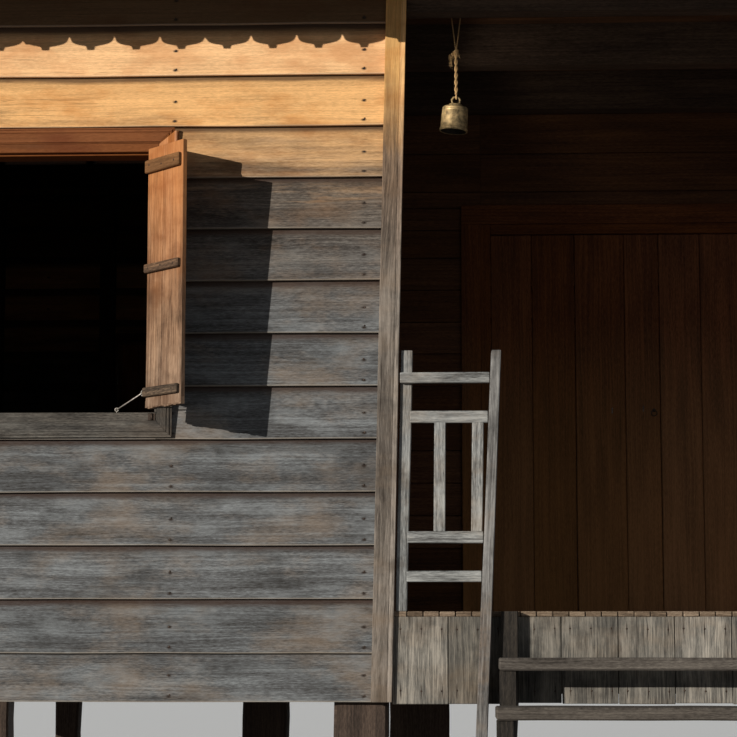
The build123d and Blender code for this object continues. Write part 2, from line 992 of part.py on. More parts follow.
def make_hips_and_ridge():
    """Four hip rafters and the ridge board, joined."""
    half = hip_rafter_width / 2
    length = eave_y * sqrt(2)
    hip_slope = slope / sqrt(2)
    drop = hip_rafter_width * hip_slope
    points = [
        (0, -drop),
        (length, roof_rise - drop),
        (length, roof_rise - rafter_drop),
        (0, -rafter_drop),
    ]
    hip = Pos(0, -half, 0) * prism(points, Plane.XZ, (0, 1, 0), hip_rafter_width)
    hip = Pos(-eave_x, -eave_overhang, eave_rafter_top) * Rot(0, 0, 45) * hip
    eaves = (-eave_overhang, house_depth + eave_overhang)
    hip = hip & block((-eave_x, eave_x), eaves, (0, above_all))
    hip = hip - plate_space()
    frame = block(
        (-ridge_end, ridge_end),
        (middle_y - ridge_board_width / 2, middle_y + ridge_board_width / 2),
        (eave_rafter_top + roof_rise - ridge_board_depth, eave_rafter_top + roof_rise - drop),
    )
    for piece in both_sides(hip):
        frame = frame + piece + front_to_rear(piece)
    return [frame]


def eave_outline(length):
    """Outline of an eave board from x = 0, with its row of shaped teeth, top edge at z = 0."""
    count = int(length / tooth_pitch)
    step = length / count
    points = [(0, 0)]
    bottom = -eave_board_depth
    notch = bottom + tooth_depth
    shoulder = bottom + tooth_depth - shoulder_drop
    half_tooth = tooth_width / 2
    for i in range(count):
        x = i * step
        middle = x + step / 2
        points += [
            (x, notch),
            (x + notch_width, shoulder),
            (middle - half_tooth, shoulder - tooth_neck),
            (middle - half_tooth, bottom),
            (middle + half_tooth, bottom),
            (middle + half_tooth, shoulder - tooth_neck),
            (x + step - notch_width, shoulder),
        ]
    points += [(length, notch), (length, 0)]
    return points


def make_long_eave_boards():
    """Shaped boards along the front and rear eaves, past the ends of the other two."""
    t = eave_board_thickness
    board = prism(eave_outline(2 * eave_x + 2 * t), Plane.XZ, (0, -1, 0), t)
    board = Pos(-eave_x - t, -eave_overhang, eave_board_top) * board
    return [board, front_to_rear(board)]


def make_end_eave_boards():
    """Shaped boards along the eaves of the hip ends."""
    board = prism(eave_outline(2 * eave_y), Plane.YZ, (1, 0, 0), eave_board_thickness)
    return both_sides(Pos(eave_x, -eave_overhang, eave_board_top) * board)


def cap_run(start, end):
    """Many-sided hollow rod from one point past another."""
    run = Vector(*end) - Vector(*start)
    ring = RegularPolygon(cap_radius, cap_sides) - RegularPolygon(cap_radius - cap_wall, cap_sides)
    return extrude(Plane(origin=start, z_dir=run) * ring, run.length + cap_radius)


def make_roof_caps():
    """Caps over the ridge and the four hips, seated on the covering and joined."""
    top = eave_rafter_top + roof_thickness
    apex = (ridge_end, middle_y, top + roof_rise)
    slope_body = roof_strip(-roof_rise, roof_thickness)
    hip = cap_run((eave_x, middle_y - eave_y, top), apex)
    hip = hip & block((ridge_end, eave_x), (middle_y - eave_y, middle_y), (eave_rafter_top, above_all))
    hip = hip - (slope_body & end_strip(-roof_rise, roof_thickness))
    far_apex = (-ridge_end, middle_y, top + roof_rise)
    ridge = cap_run(far_apex, apex)
    ridge = ridge & block((-ridge_end, ridge_end), (0, house_depth), (0, above_all))
    caps = ridge - (slope_body + front_to_rear(slope_body))
    for piece in both_sides(hip):
        caps = caps + piece + front_to_rear(piece)
    return [caps]


builders = {
    "stilts": make_stilts,
    "floor_beams": make_floor_beams,
    "floor_joists": make_floor_joists,
    "room_floor": make_room_floor,
    "veranda_floor": make_veranda_floor,
    "veranda_skirt": make_skirt,
    "front_wall_left": lambda: [make_front_wall()],
    "front_wall_right": lambda: [mirror(make_front_wall(), about=Plane.YZ)],
    "side_wall_right": lambda: [make_side_wall()],
    "side_wall_left": lambda: [mirror(make_side_wall(), about=Plane.YZ)],
    "rear_wall": lambda: [make_rear_wall()],
    "front_frieze": make_front_frieze,
    "veranda_side_walls": make_veranda_side_walls,
    "hall_wall_sides": make_hall_wall_sides,
    "hall_wall_over_door": make_hall_wall_over_door,
    "wall_posts": make_wall_posts,
    "wall_plates": make_wall_plates,
    "veranda_beams": make_veranda_beams,
    "veranda_ceiling": make_veranda_ceiling,
    "corner_boards": make_corner_boards,
    "outer_corner_boards": make_outer_corner_boards,
    "front_window_frames": make_front_window_frames,
    "side_window_frames": make_side_window_frames,
    "rear_window_frames": make_rear_window_frames,
    "front_shutters": make_front_shutters,
    "shutter_stays": make_shutter_stays,
    "side_shutters": make_side_shutters,
    "rear_shutters": make_rear_shutters,
    "door_frame": make_door_frame,
    "door_leaves": make_door_leaves,
    "door_ring_pull": make_ring_pull,
    "stair_planks": make_stair_planks,
    "railing_left": lambda: [make_railing()],
    "railing_right": lambda: [mirror(make_railing(), about=Plane.YZ)],
    "stair_stringers": make_stair_stringers,
    "stair_treads": make_stair_treads,
    "bell": make_bell,
    "bell_rope": make_bell_rope,
    "bell_bar": make_bell_bar,
    "roof_slope_front": lambda: [make_front_slope()],
    "roof_slope_rear": lambda: [front_to_rear(make_front_slope())],
    "roof_hips": make_roof_hips,
    "rafters": make_rafters,
    "hip_rafters_and_ridge": make_hips_and_ridge,
    "long_eave_boards": make_long_eave_boards,
    "end_eave_boards": make_end_eave_boards,
    "roof_caps": make_roof_caps,
}


def main():
    """Builds every node, centres the house front to back and writes the files."""
    os.makedirs("parts", exist_ok=True)
    made = {name: Compound(children=list(build())) for name, build in builders.items()}
    boxes = [piece.bounding_box() for piece in made.values()]
    low = min(box.min.Y for box in boxes)
    high = max(box.max.Y for box in boxes)
    print("shift front to back", -(low + high) / 2)
    for name, piece in made.items():
        export_step(Pos(0, -(low + high) / 2, 0) * piece, f"parts/{name}.step")


main()
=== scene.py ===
import math
import random

import bmesh
import bpy
from mathutils import Matrix, Vector


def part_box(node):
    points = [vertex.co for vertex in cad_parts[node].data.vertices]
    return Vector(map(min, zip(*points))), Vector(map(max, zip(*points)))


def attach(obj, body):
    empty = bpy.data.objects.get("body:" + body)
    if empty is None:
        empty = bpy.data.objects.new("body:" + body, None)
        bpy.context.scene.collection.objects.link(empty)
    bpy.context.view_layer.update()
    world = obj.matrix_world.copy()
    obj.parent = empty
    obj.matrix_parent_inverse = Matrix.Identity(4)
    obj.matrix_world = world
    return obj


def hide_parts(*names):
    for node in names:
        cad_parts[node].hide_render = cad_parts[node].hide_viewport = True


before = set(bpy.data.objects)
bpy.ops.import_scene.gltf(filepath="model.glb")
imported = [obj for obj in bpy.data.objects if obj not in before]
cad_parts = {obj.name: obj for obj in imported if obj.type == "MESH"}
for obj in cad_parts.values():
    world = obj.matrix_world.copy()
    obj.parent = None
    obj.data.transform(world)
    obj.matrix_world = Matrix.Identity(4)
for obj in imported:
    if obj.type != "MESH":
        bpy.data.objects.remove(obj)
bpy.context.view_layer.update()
scene = bpy.context.scene
scene.view_settings.view_transform = "Standard"

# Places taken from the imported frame
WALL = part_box("front_wall_left")
FRONT = WALL[0][1]
BASE = WALL[0][2]
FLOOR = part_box("veranda_floor")[1][2]
HALF = -WALL[0][0]
RECESS = -WALL[1][0]
WALL_TOP = WALL[1][2]
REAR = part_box("rear_wall")[1][1]
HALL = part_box("veranda_floor")[1][1] + 0.005

# Boards of the walls
LAP = 0.2249
FIRST_LAP = -0.1741
LEAST_LAP = 0.06
NAILED_LAP = 0.15
LAP_COVER = 0.028
LAP_LEAN = 0.025 / (LAP + LAP_COVER)
BOARD = 0.0195
NAIL_PITCH = 0.815
NAIL_START = -1.43
NAIL_RISES = (0.026, 0.113)
NAIL_EDGE = 0.03
NAIL_HOLE_EDGE = 0.08
NAIL_WANDER = 0.004
SIDE_RUN = 8.05
SIDE_INSET = 0.045

# Windows
WINDOW_X = 2.858
OPENING = 0.54
SILL = FLOOR + 0.839
HEAD = SILL + 1.111
REVEAL_SIDE = 0.008
REVEAL_SILL = 0.04
REVEAL_HEAD = 0.05
REVEAL_FRONT = -0.009
REVEAL_BACK = 0.11
STOP_TALL = 0.006
STOP_GAP = 0.0055
LIP_TALL = 0.0075

# Crack between two planks of one leaf
SEAM = 0.0012

# Distance between the nail stains across a skirt board
SKIRT_STAIN_PITCH = 0.0865

MIRROR = Matrix.Scale(-1, 4, (1, 0, 0))
WHOLE_TURN = 2 * math.pi


def clamp(value, low, high):
    """Value kept between two limits."""
    return max(low, min(high, value))


def linear(*rgb):
    """Linear colour from screen values of 0 to 255."""
    return tuple((v / 255 / 12.92) if v <= 10 else ((v / 255 + 0.055) / 1.055) ** 2.4 for v in rgb)


def times(colour, *shares):
    """Colour with its parts multiplied."""
    return tuple(min(1, c * s) for c, s in zip(colour, shares * 3 if len(shares) == 1 else shares))


def trim(mesh, cuts):
    """Cuts a mesh off outside planes and turns its faces outwards."""
    bm = bmesh.new()
    bm.from_mesh(mesh)
    for place, normal in cuts:
        bmesh.ops.bisect_plane(
            bm, geom=bm.verts[:] + bm.edges[:] + bm.faces[:], plane_co=place, plane_no=normal,
            clear_outer=True,
        )
    bmesh.ops.recalc_face_normals(bm, faces=bm.faces)
    bm.to_mesh(mesh)
    bm.free()


class Store:
    """Gathers the points and faces of one mesh, with their grain, nail and tone coordinates."""

    def __init__(self, name, seed=0):
        self.name = name
        self.random = random.Random(seed)
        self.points, self.faces = [], []
        self.grain, self.spot, self.tone = [], [], []

    def join(self, first, size, rings=2):
        """Quads between closed rings of points that follow each other."""
        for start in range(first, first + (rings - 1) * size, size):
            for j in range(size):
                k = (j + 1) % size
                self.faces.append((start + j, start + k, start + size + k, start + size + j))

    def cap(self, first, size, turned=False):
        """Face over a ring of points."""
        corners = range(first, first + size)
        self.faces.append(tuple(reversed(corners) if turned else corners))

    def build(self, material, slot, *replaces, body="house", cuts=(), smooth=False):
        mesh = bpy.data.meshes.new(self.name)
        mesh.from_pydata([tuple(p) for p in self.points], [], self.faces)
        for layer, values in (("grain", self.grain), ("spot", self.spot)):
            if values:
                uv = mesh.uv_layers.new(name=layer)
                for loop in mesh.loops:
                    uv.data[loop.index].uv = values[loop.vertex_index]
        if self.tone:
            attribute = mesh.attributes.new("tone", "FLOAT", "POINT")
            attribute.data.foreach_set("value", self.tone)
        trim(mesh, cuts)
        if smooth:
            mesh.shade_smooth()
        obj = bpy.data.objects.new(self.name, mesh)
        scene.collection.objects.link(obj)
        mesh.materials.append(material)
        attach(obj, body)
        if replaces:
            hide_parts(*replaces)


class Boards(Store):
    """Bevelled boards in one mesh. Each has its own grain, tone and nail coordinates."""

    MOST_STATIONS = 24
    TONE_SPREAD = 0.12

    def __init__(self, name, seed, bevel=0.002, wander=0.0012, step=0.35):
        super().__init__(name, seed)
        self.bevel = bevel
        self.wander = wander
        self.step = step
        self.matrix = Matrix.Identity(4)

    def stations(self, length, bevel):
        """Distances along a board where it has a ring of points, and how much each ring shrinks."""
        count = max(1, min(self.MOST_STATIONS, round(length / self.step)))
        inner = [(length * i / count, 0.0) for i in range(1, count)]
        return [(0.0, bevel), (bevel, 0.0), *inner, (length - bevel, 0.0), (length, bevel)]

    def add(self, corner, along, across, out, spot=(0.0, 0.0), tone=None, bevel=None):
        """Board from a corner, with its length, width and thickness as vectors."""
        corner, along, across, out = (Vector(v) for v in (corner, along, across, out))
        rnd = self.random
        w = self.wander
        width, depth, length = across.length, out.length, along.length
        b = min(self.bevel if bevel is None else bevel, width / 3, depth / 3)
        ring = [
            (b, 0), (width - b, 0), (width, b), (width, depth - b),
            (width - b, depth), (b, depth), (0, depth - b), (0, b),
        ]
        offset = rnd.uniform(0, 40)
        if tone is None:
            shade = rnd.random()
        else:
            shade = clamp(tone + rnd.uniform(-self.TONE_SPREAD, self.TONE_SPREAD), 0, 1)
        along, across, out = along.normalized(), across.normalized(), out.normalized()
        stations = self.stations(length, b)
        start = len(self.points)
        for at, shrink in stations:
            low = rnd.uniform(-w, w)
            high = rnd.uniform(-w, w)
            bow = rnd.uniform(-w, w) * 0.5
            for a, o in ring:
                a_in = clamp(a, shrink, width - shrink)
                o_in = clamp(o, shrink, depth - shrink)
                share = a_in / width
                edge = low * (1 - share) + high * share
                place = corner + along * at + across * (a_in + edge) + out * (o_in + bow)
                self.points.append(self.matrix @ place)
                self.grain.append((offset + at, offset * 0.37 + a + o))
                self.spot.append((spot[0] + at, spot[1] + a))
                self.tone.append(shade)
        size = len(ring)
        self.join(start, size, len(stations))
        last = start + (len(stations) - 1) * size
        self.add_end(range(start + size - 1, start - 1, -1), ring[::-1], offset, shade)
        self.add_end(range(last, last + size), ring, offset, shade)

    def add_end(self, corners, ring, offset, shade):
        """End of a board, whose rings run across it."""
        start = len(self.points)
        for corner, (a, o) in zip(corners, ring):
            self.points.append(self.points[corner])
            self.grain.append((offset + a * 1.5, offset * 0.37 + o * 0.8 + a * 0.05))
            self.spot.append((-9.0, -9.0))
            self.tone.append(shade * 0.8)
        self.cap(start, len(ring))


# Materials


class Nodes:
    """Short way to build the node tree of a material, or of the world that is given."""

    def __init__(self, name, world=None):
        self.material = world or bpy.data.materials.new(name)
        self.material.use_nodes = True
        self.tree = self.material.node_tree
        self.shader = self.tree.nodes["Background" if world else "Principled BSDF"]

    def put(self, socket, value):
        if hasattr(value, "links"):
            self.tree.links.new(value, socket)
        elif value is not None:
            socket.default_value = value

    def node(self, kind, inputs=None, output=0, **settings):
        made = self.tree.nodes.new("ShaderNode" + kind)
        for key, value in settings.items():
            setattr(made, key, value)
        for key, value in (inputs or {}).items():
            self.put(made.inputs[key], value)
        return made.outputs[output]

    def math(self, operation, a, b=0.5, clamp_it=False):
        return self.node("Math", {0: a, 1: b}, operation=operation, use_clamp=clamp_it)

    def plus(self, a, b, share):
        """Sum of a value and a share of another."""
        return self.math("ADD", a, self.math("MULTIPLY", b, share))

    def object_place(self):
        return self.node("TexCoord", output=3)

    def part(self, vector, axis):
        return self.node("SeparateXYZ", {0: vector}, output=axis)

    def scaled(self, vector, scale, shift=(0, 0, 0)):
        return self.node("Mapping", {"Vector": vector, "Scale": scale, "Location": shift})

    def noise(self, vector, scale, detail=2.0, rough=0.55, shift=(0, 0, 0)):
        """Noise over coordinates that are scaled on each axis, or alike on all."""
        scale = scale if isinstance(scale, tuple) else (scale,) * 3
        inputs = {
            "Vector": self.scaled(vector, scale, shift), "Scale": 1.0, "Detail": detail, "Roughness": rough,
            "Distortion": 0.0,
        }
        return self.node("TexNoise", inputs)

    def between(self, value, low, high, to_low=0.0, to_high=1.0):
        inputs = {
            "Value": value, "From Min": low, "From Max": high, "To Min": to_low, "To Max": to_high,
        }
        return self.node("MapRange", inputs)

    def ramp(self, value, *stops):
        """Colours at places from 0 to 1."""
        made = self.tree.nodes.new("ShaderNodeValToRGB")
        elements = made.color_ramp.elements
        while len(elements) < len(stops):
            elements.new(0.5)
        for element, (place, colour) in zip(elements, stops):
            element.position = place
            element.color = (*colour, 1)
        self.put(made.inputs[0], value)
        return made.outputs[0]

    def mix(self, factor, a, b, blend="MIX"):
        made = self.tree.nodes.new("ShaderNodeMix")
        made.data_type = "RGBA"
        made.blend_type = blend
        for index, value in ((0, factor), (6, a), (7, b)):
            if isinstance(value, tuple) and len(value) == 3:
                value = (*value, 1)
            self.put(made.inputs[index], value)
        return made.outputs[2]

    def tinted(self, colour, values, tints):
        """Colour made lighter or darker, and duller or stronger, by each board's or tile's tone."""
        shade = self.node("Attribute", output=2, attribute_name="tone")
        inputs = {
            "Color": colour, "Value": self.between(shade, 0, 1, *values),
            "Saturation": self.between(shade, 0, 1, *tints),
        }
        return self.node("HueSaturation", inputs)

    def bump(self, height, strength, distance):
        return self.node("Bump", {"Height": height, "Strength": strength, "Distance": distance})

    def seen(self):
        """One where the camera sees the surface, directly or by way of metal or glass."""
        seen = self.node("LightPath", output="Is Camera Ray")
        for ray in ("Is Glossy Ray", "Is Transmission Ray"):
            seen = self.math("MAXIMUM", seen, self.node("LightPath", output=ray))
        return seen

    def close(self, colour, roughness, normal=None, metallic=0.0, specular=0.25):
        self.put(self.shader.inputs["Base Color"], colour)
        self.put(self.shader.inputs["Roughness"], roughness)
        self.shader.inputs["Metallic"].default_value = metallic
        self.shader.inputs["Specular IOR Level"].default_value = specular
        self.put(self.shader.inputs["Normal"], normal)
        return self.material


def grain_vector(n, axis):
    """Coordinates whose first number runs along the grain."""
    if axis is None:
        return n.node("UVMap", uv_map="grain")
    turn = {"X": (0, 0, 0), "Y": (0, 0, -math.pi / 2), "Z": (0, math.pi / 2, 0)}[axis]
    return n.node("Mapping", {"Vector": n.object_place(), "Rotation": turn})


def bent_grain(n, grain, bend=0.05):
    """Grain coordinates whose lines wander and close into arches, as in flat-sawn boards."""
    slow = n.noise(grain, (1.0, 6.5, 3))
    quick = n.noise(grain, (5, 22, 9))
    shift = n.plus(n.math("MULTIPLY", slow, bend), quick, bend * 0.12)
    return n.node("VectorMath", {0: grain, 1: n.node("CombineXYZ", {1: shift})}, operation="ADD")


def weather(n, colour, murk, wavy, fine, ends, patch, patch_share):
    """Warm patches, pale washes and dark clouds over a wood colour."""
    dark, light = ends
    cloud = n.noise(n.object_place(), (2.3, 2.3, 4.6), 6, 0.62)
    mottle = n.plus(n.math("MULTIPLY", cloud, 0.75), fine, 0.25)
    colour = n.mix(n.between(mottle, 0.48, 0.62, 0, patch_share), colour, linear(*patch))
    wash = n.noise(wavy, (2.6, 9, 5), 8, 0.7, (3, 9, 1))
    colour = n.mix(n.between(wash, 0.5, 0.7, 0, 0.5), colour, times(light, 1.4))
    return n.mix(n.between(murk, 0.52, 0.7, 0, 0.5), colour, times(dark, 0.55))


def painted_sun_fade(n, colour, murk, broad, streak, high, low, top, most):
    """Painted warm sunlight that comes in with height, ragged along the grain, with a painted warm tint of
    it that starts a little lower.
    """
    high = linear(*high)
    ragged = n.plus(n.part(n.object_place(), 2), broad, 0.5)
    share = n.between(ragged, low + 0.25, top + 0.25, 0, most)
    # Painted warm tint of the same sunlight, over the zone and a little below it.
    sun_tint = n.mix(n.between(ragged, low - 0.35, low + 0.2), (1, 1, 1), (0.98, 0.78, 0.62))
    warm = n.mix(n.between(streak, 0.42, 0.57), times(high, 0.62), high)
    if murk is not None:
        warm = n.mix(n.between(murk, 0.48, 0.66, 0, 0.65), warm, times(high, 0.6, 0.44, 0.31))
    return n.mix(share, n.mix(1.0, colour, sun_tint, "MULTIPLY"), warm)


def lap_shade_and_highlight(n, colour, broad, lap):
    """Painted shade on a lapped board just under the next one, and a painted highlight along its lower edge.
    """
    v = n.part(n.node("UVMap", uv_map="spot"), 1)
    ragged = n.plus(v, n.math("SUBTRACT", broad, 0.5), 0.05)
    # Painted shade under the lap above: a wide soft band and a narrow dark one.
    colour = n.mix(n.between(ragged, lap - 0.06, lap - 0.01, 0, 0.3), colour, linear(48, 40, 34))
    colour = n.mix(n.between(ragged, lap - 0.03, lap - 0.014, 0, 0.75), colour, linear(54, 37, 28))
    # Painted highlight along the board's lower edge.
    return n.mix(n.between(v, 0.0065, 0.002, 0, 0.35), colour, linear(190, 176, 158))


def nail_stains(n, colour, fine, period, rises, radius, stretch):
    """Dark smudges at nails that stand a period apart along the board."""
    u = n.part(n.node("UVMap", uv_map="spot"), 0)
    v = n.part(n.node("UVMap", uv_map="spot"), 1)
    wide = n.math("PINGPONG", n.math("ADD", u, period * 200), period / 2)
    wide = n.math("MULTIPLY", wide, wide)
    total = None
    for rise in rises:
        tall = n.math("DIVIDE", n.math("SUBTRACT", v, rise - 0.003), stretch)
        away = n.math("SQRT", n.plus(wide, tall, tall))
        away = n.plus(away, n.math("SUBTRACT", fine, 0.5), radius * 1.2)
        mark = n.between(away, radius * 0.3, radius, 1, 0)
        total = mark if total is None else n.math("MAXIMUM", total, mark)
    return n.mix(total, colour, linear(40, 31, 25))


def whole_wood(n, grain, wavy):
    """One where the wood is whole and nothing in its splits, which come in some places only."""
    split = n.noise(wavy, (1.2, 70, 70))
    where = n.noise(grain, (1.3, 8, 3), shift=(7, 3, 1))
    away = n.between(n.math("ABSOLUTE", n.math("SUBTRACT", split, 0.5)), 0.0, 0.013)
    return n.math("ADD", away, n.between(where, 0.6, 0.5), True)


def timber(name, dark, mid, light, axis=None, tone=0.2, high=None, sun_share=0.92, eave_shade=None,
           patch=None, patch_share=0.5, crack=0.4, nails=None, lap=None, dash=36):
    """Weathered wood: bent rings and fibres, patches, painted warm sunlight that comes in with height,
    painted shade under the eaves, painted shade and a painted highlight at the laps, cracks and nail stains.
    """
    n = Nodes(name)
    dark, light = linear(*dark), linear(*light)
    grain = grain_vector(n, axis)
    wavy = bent_grain(n, grain)
    rings = n.noise(wavy, (0.8, 110, 110))
    fine = n.noise(wavy, (dash, 240, 240), 6, 0.72)
    broad = n.noise(wavy, (1.7, 15, 15), 6, 0.64)
    streak = n.plus(n.plus(n.math("MULTIPLY", fine, 0.42), broad, 0.36), rings, 0.22)
    colour = n.ramp(streak, (0.4, dark), (0.5, linear(*mid)), (0.6, light))
    murk = None
    if patch is not None:
        murk = n.noise(n.object_place(), (3.1, 3.1, 6.0), 5, 0.6, (5, 2, 8))
        colour = weather(n, colour, murk, wavy, fine, (dark, light), patch, patch_share)
    # Painted warm sunlight between two heights.
    if high is not None:
        colour = painted_sun_fade(n, colour, murk, broad, streak, *high, sun_share)
    if eave_shade is not None:
        # Painted shade under the eaves: dark brown above a height.
        height = n.part(n.object_place(), 2)
        colour = n.mix(n.between(height, eave_shade, eave_shade + 0.05, 0, 0.85), colour, linear(44, 25, 8))
    # Painted shade under each lap and a painted highlight on each lower edge.
    if lap is not None:
        colour = lap_shade_and_highlight(n, colour, broad, lap)
    if nails is not None:
        colour = nail_stains(n, colour, fine, *nails)
    whole = whole_wood(n, grain, wavy)
    colour = n.mix(n.math("MULTIPLY", n.math("SUBTRACT", 1.0, whole), crack), colour, (0.012, 0.008, 0.005))
    if axis is None:
        colour = n.tinted(colour, (1 - tone, 1 + tone), (1.06, 0.92))
    height = n.plus(n.math("MULTIPLY", fine, 0.6), whole, 0.7)
    return n.close(colour, n.between(fine, 0.3, 0.7, 0.94, 0.76), n.bump(height, 0.5, 0.003))


def metal(name, dark, light, metallic, rough, scale=60.0):
    """Dull metal with blotches and fine pitting."""
    n = Nodes(name)
    blotch = n.noise(n.object_place(), scale, 6, 0.65)
    pit = n.noise(n.object_place(), scale * 9, 3)
    colour = n.ramp(blotch, (0.35, linear(*dark)), (0.65, linear(*light)))
    normal = n.bump(n.plus(blotch, pit, 0.4), 0.3, 0.001)
    return n.close(colour, n.between(blotch, 0.3, 0.7, rough + 0.12, rough - 0.1), normal, metallic, 0.5)


def tile_clay():
    """Matt clay with lichen-grey weathering and a tone for each tile."""
    n = Nodes("roof_clay")
    grit = n.noise(n.object_place(), 90, 5, 0.7)
    cloud = n.noise(n.object_place(), 1.3, 6, 0.62)
    stops = ((0.3, linear(92, 62, 50)), (0.55, linear(130, 90, 70)), (0.75, linear(160, 120, 98)))
    colour = n.ramp(grit, *stops)
    colour = n.mix(n.between(cloud, 0.4, 0.65, 0, 0.7), colour, linear(100, 96, 88))
    colour = n.tinted(colour, (0.66, 1.2), (0.75, 1.0))
    return n.close(colour, n.between(grit, 0.3, 0.7, 0.95, 0.8), n.bump(grit, 0.5, 0.002))


def rope_fibre():
    """Pale twisted fibre."""
    n = Nodes("rope_fibre")
    hair = n.noise(n.object_place(), (900, 900, 220), 4, 0.7)
    stops = ((0.3, linear(150, 114, 72)), (0.5, linear(206, 170, 120)), (0.7, linear(240, 214, 170)))
    return n.close(n.ramp(hair, *stops), 0.92, n.bump(hair, 0.6, 0.001))


# Wall boards: painted warm sunlight on the upper boards, painted shade under the eaves, and painted shade
# and a painted highlight at the laps.
wall_wood = timber(
    "wall_wood", (48, 46, 44), (84, 85, 86), (122, 126, 128), tone=0.07, eave_shade=FLOOR + 2.47, lap=LAP,
    high=((255, 200, 138), FLOOR + 1.79, FLOOR + 2.13), patch=(128, 110, 92),
    nails=(NAIL_PITCH, NAIL_RISES, 0.0145, 0.6),
)
inner_wood = timber("inner_wood", (52, 31, 17), (80, 51, 29), (106, 71, 42), tone=0.25)
frame_wood = {
    axis: timber("frame_wood_" + axis.lower(), (44, 33, 26), (70, 55, 44), (94, 76, 62), axis)
    for axis in "XYZ"
}
stilt_wood = timber("stilt_wood", (34, 26, 21), (58, 46, 38), (82, 67, 56), crack=0.9)
# Casings: painted warm sunlight on their upper part.
casing_wood = timber(
    "casing_wood", (30, 28, 26), (64, 61, 57), (104, 101, 95), tone=0.14, patch=(92, 80, 68),
    high=((126, 70, 26), SILL + 0.5, HEAD),
)
# Shutter boards: painted warm sunlight on their upper part.
shutter_wood = timber(
    "shutter_wood", (58, 43, 32), (118, 99, 84), (168, 150, 132), tone=0.14, crack=0.8, dash=12,
    high=((204, 134, 78), SILL + 0.4, HEAD - 0.1), sun_share=0.75, patch=(98, 74, 56), patch_share=0.8,
)
# Battens: painted warm sunlight on their upper part.
batten_wood = timber(
    "batten_wood", (32, 25, 20), (74, 62, 51), (124, 106, 88), tone=0.14, crack=0.8,
    high=((150, 104, 62), SILL + 0.6, HEAD), sun_share=0.75,
)
# Door wood: painted warm sunlight that grows towards the floor.
door_wood = timber(
    "door_wood", (60, 37, 19), (94, 60, 32), (124, 84, 48), crack=0.5,
    high=((176, 128, 78), FLOOR + 1.5, FLOOR + 0.1), sun_share=0.7,
)
silver_wood = timber(
    "silver_wood", (50, 47, 46), (99, 97, 95), (146, 144, 141), tone=0.12, patch=(138, 116, 94), dash=13,
)
rail_wood = timber(
    "rail_wood", (62, 60, 58), (130, 131, 130), (186, 187, 184), tone=0.25, crack=0.7,
    patch=(146, 126, 104), dash=20,
)
# Corner boards: painted warm sunlight on their upper part.
corner_wood = timber(
    "corner_wood", (62, 55, 49), (104, 96, 88), (148, 138, 128), tone=0.3, patch=(124, 106, 88),
    high=((255, 198, 126), FLOOR + 1.95, FLOOR + 2.28), dash=13,
)
skirt_wood = timber(
    "skirt_wood", (50, 47, 44), (97, 94, 88), (150, 143, 132), tone=0.32, patch=(138, 118, 96),
    patch_share=0.35, nails=(SKIRT_STAIN_PITCH, (0.305, 0.055), 0.0029, 14.0), dash=11,
)
floor_wood = timber("floor_wood", (70, 58, 46), (112, 95, 78), (148, 130, 110), tone=0.3)
tread_wood = timber("tread_wood", (44, 39, 34), (76, 70, 64), (106, 99, 91), tone=0.12)
stair_wood = timber("stair_wood", (18, 16, 13), (34, 30, 26), (54, 48, 41), "Z")
clay = tile_clay()
rope = rope_fibre()
bronze = metal("bell_bronze", (80, 69, 49), (196, 170, 124), 0.4, 0.62, 34.0)
# Near-black metal inside the bell: painted shade in its hollow.
bell_hollow_shade = metal("bell_hollow_shade", (20, 15, 10), (48, 36, 24), 0.3, 0.8)
iron = metal("dark_iron", (34, 28, 24), (72, 58, 48), 0.7, 0.6)
zinc = metal("dull_zinc", (124, 116, 106), (196, 190, 182), 0.45, 0.55)


# Walls


def lap_lines():
    """Heights of the boards' lower edges, from the wall's foot to its top."""
    lines = [BASE]
    height = FLOOR + FIRST_LAP
    while height < WALL_TOP - LEAST_LAP:
        lines.append(height)
        height += LAP
    return lines


def spans(low, high, holes, bottom, top):
    """Pieces of a course left by window holes, as (from, to, bottom, top)."""
    found = [(low, high, bottom, top)]
    for h_low, h_high, h_bottom, h_top in holes:
        cut = []
        for a, b, c, d in found:
            if h_high <= a or h_low >= b or h_top <= c or h_bottom >= d:
                cut.append((a, b, c, d))
                continue
            cut.append((a, h_low, c, d))
            cut.append((h_high, b, c, d))
            if h_bottom > c:
                cut.append((h_low, h_high, c, h_bottom))
            if h_top < d:
                cut.append((h_low, h_high, h_top, d))
        found = [s for s in cut if s[1] - s[0] > 0.01 and s[3] - s[2] > 0.004]
    return found


def lapped_wall(boards, origin, along, inward, length, run_start, holes, node):
    """Lapped boards on a wall from its left end, looked at from outside, and the places of their nails."""
    nails = []
    lines = lap_lines()
    origin = Vector(origin)
    for i, bottom in enumerate(lines):
        top = min(WALL_TOP, (lines[i + 1] if i + 1 < len(lines) else WALL_TOP) + LAP_COVER)
        tone = boards.random.random()
        shift = boards.random.uniform(-0.0015, 0.0015)
        for a, b, c, d in spans(0, length, holes, bottom, top):
            corner = origin + along * a + inward * ((c - bottom) * LAP_LEAN + BOARD)
            corner.z = c + (shift if c == bottom else 0)
            across = inward * ((d - c) * LAP_LEAN) + Vector((0, 0, d - corner.z))
            boards.add(corner, along * (b - a), across, inward * -BOARD, (run_start + a, c - bottom), tone)
        if top - bottom > NAILED_LAP:
            nails += nail_places(boards.random, origin, along, inward, length, run_start, holes, bottom)
    boards.build(wall_wood, "weathered_boards", node)
    return nails


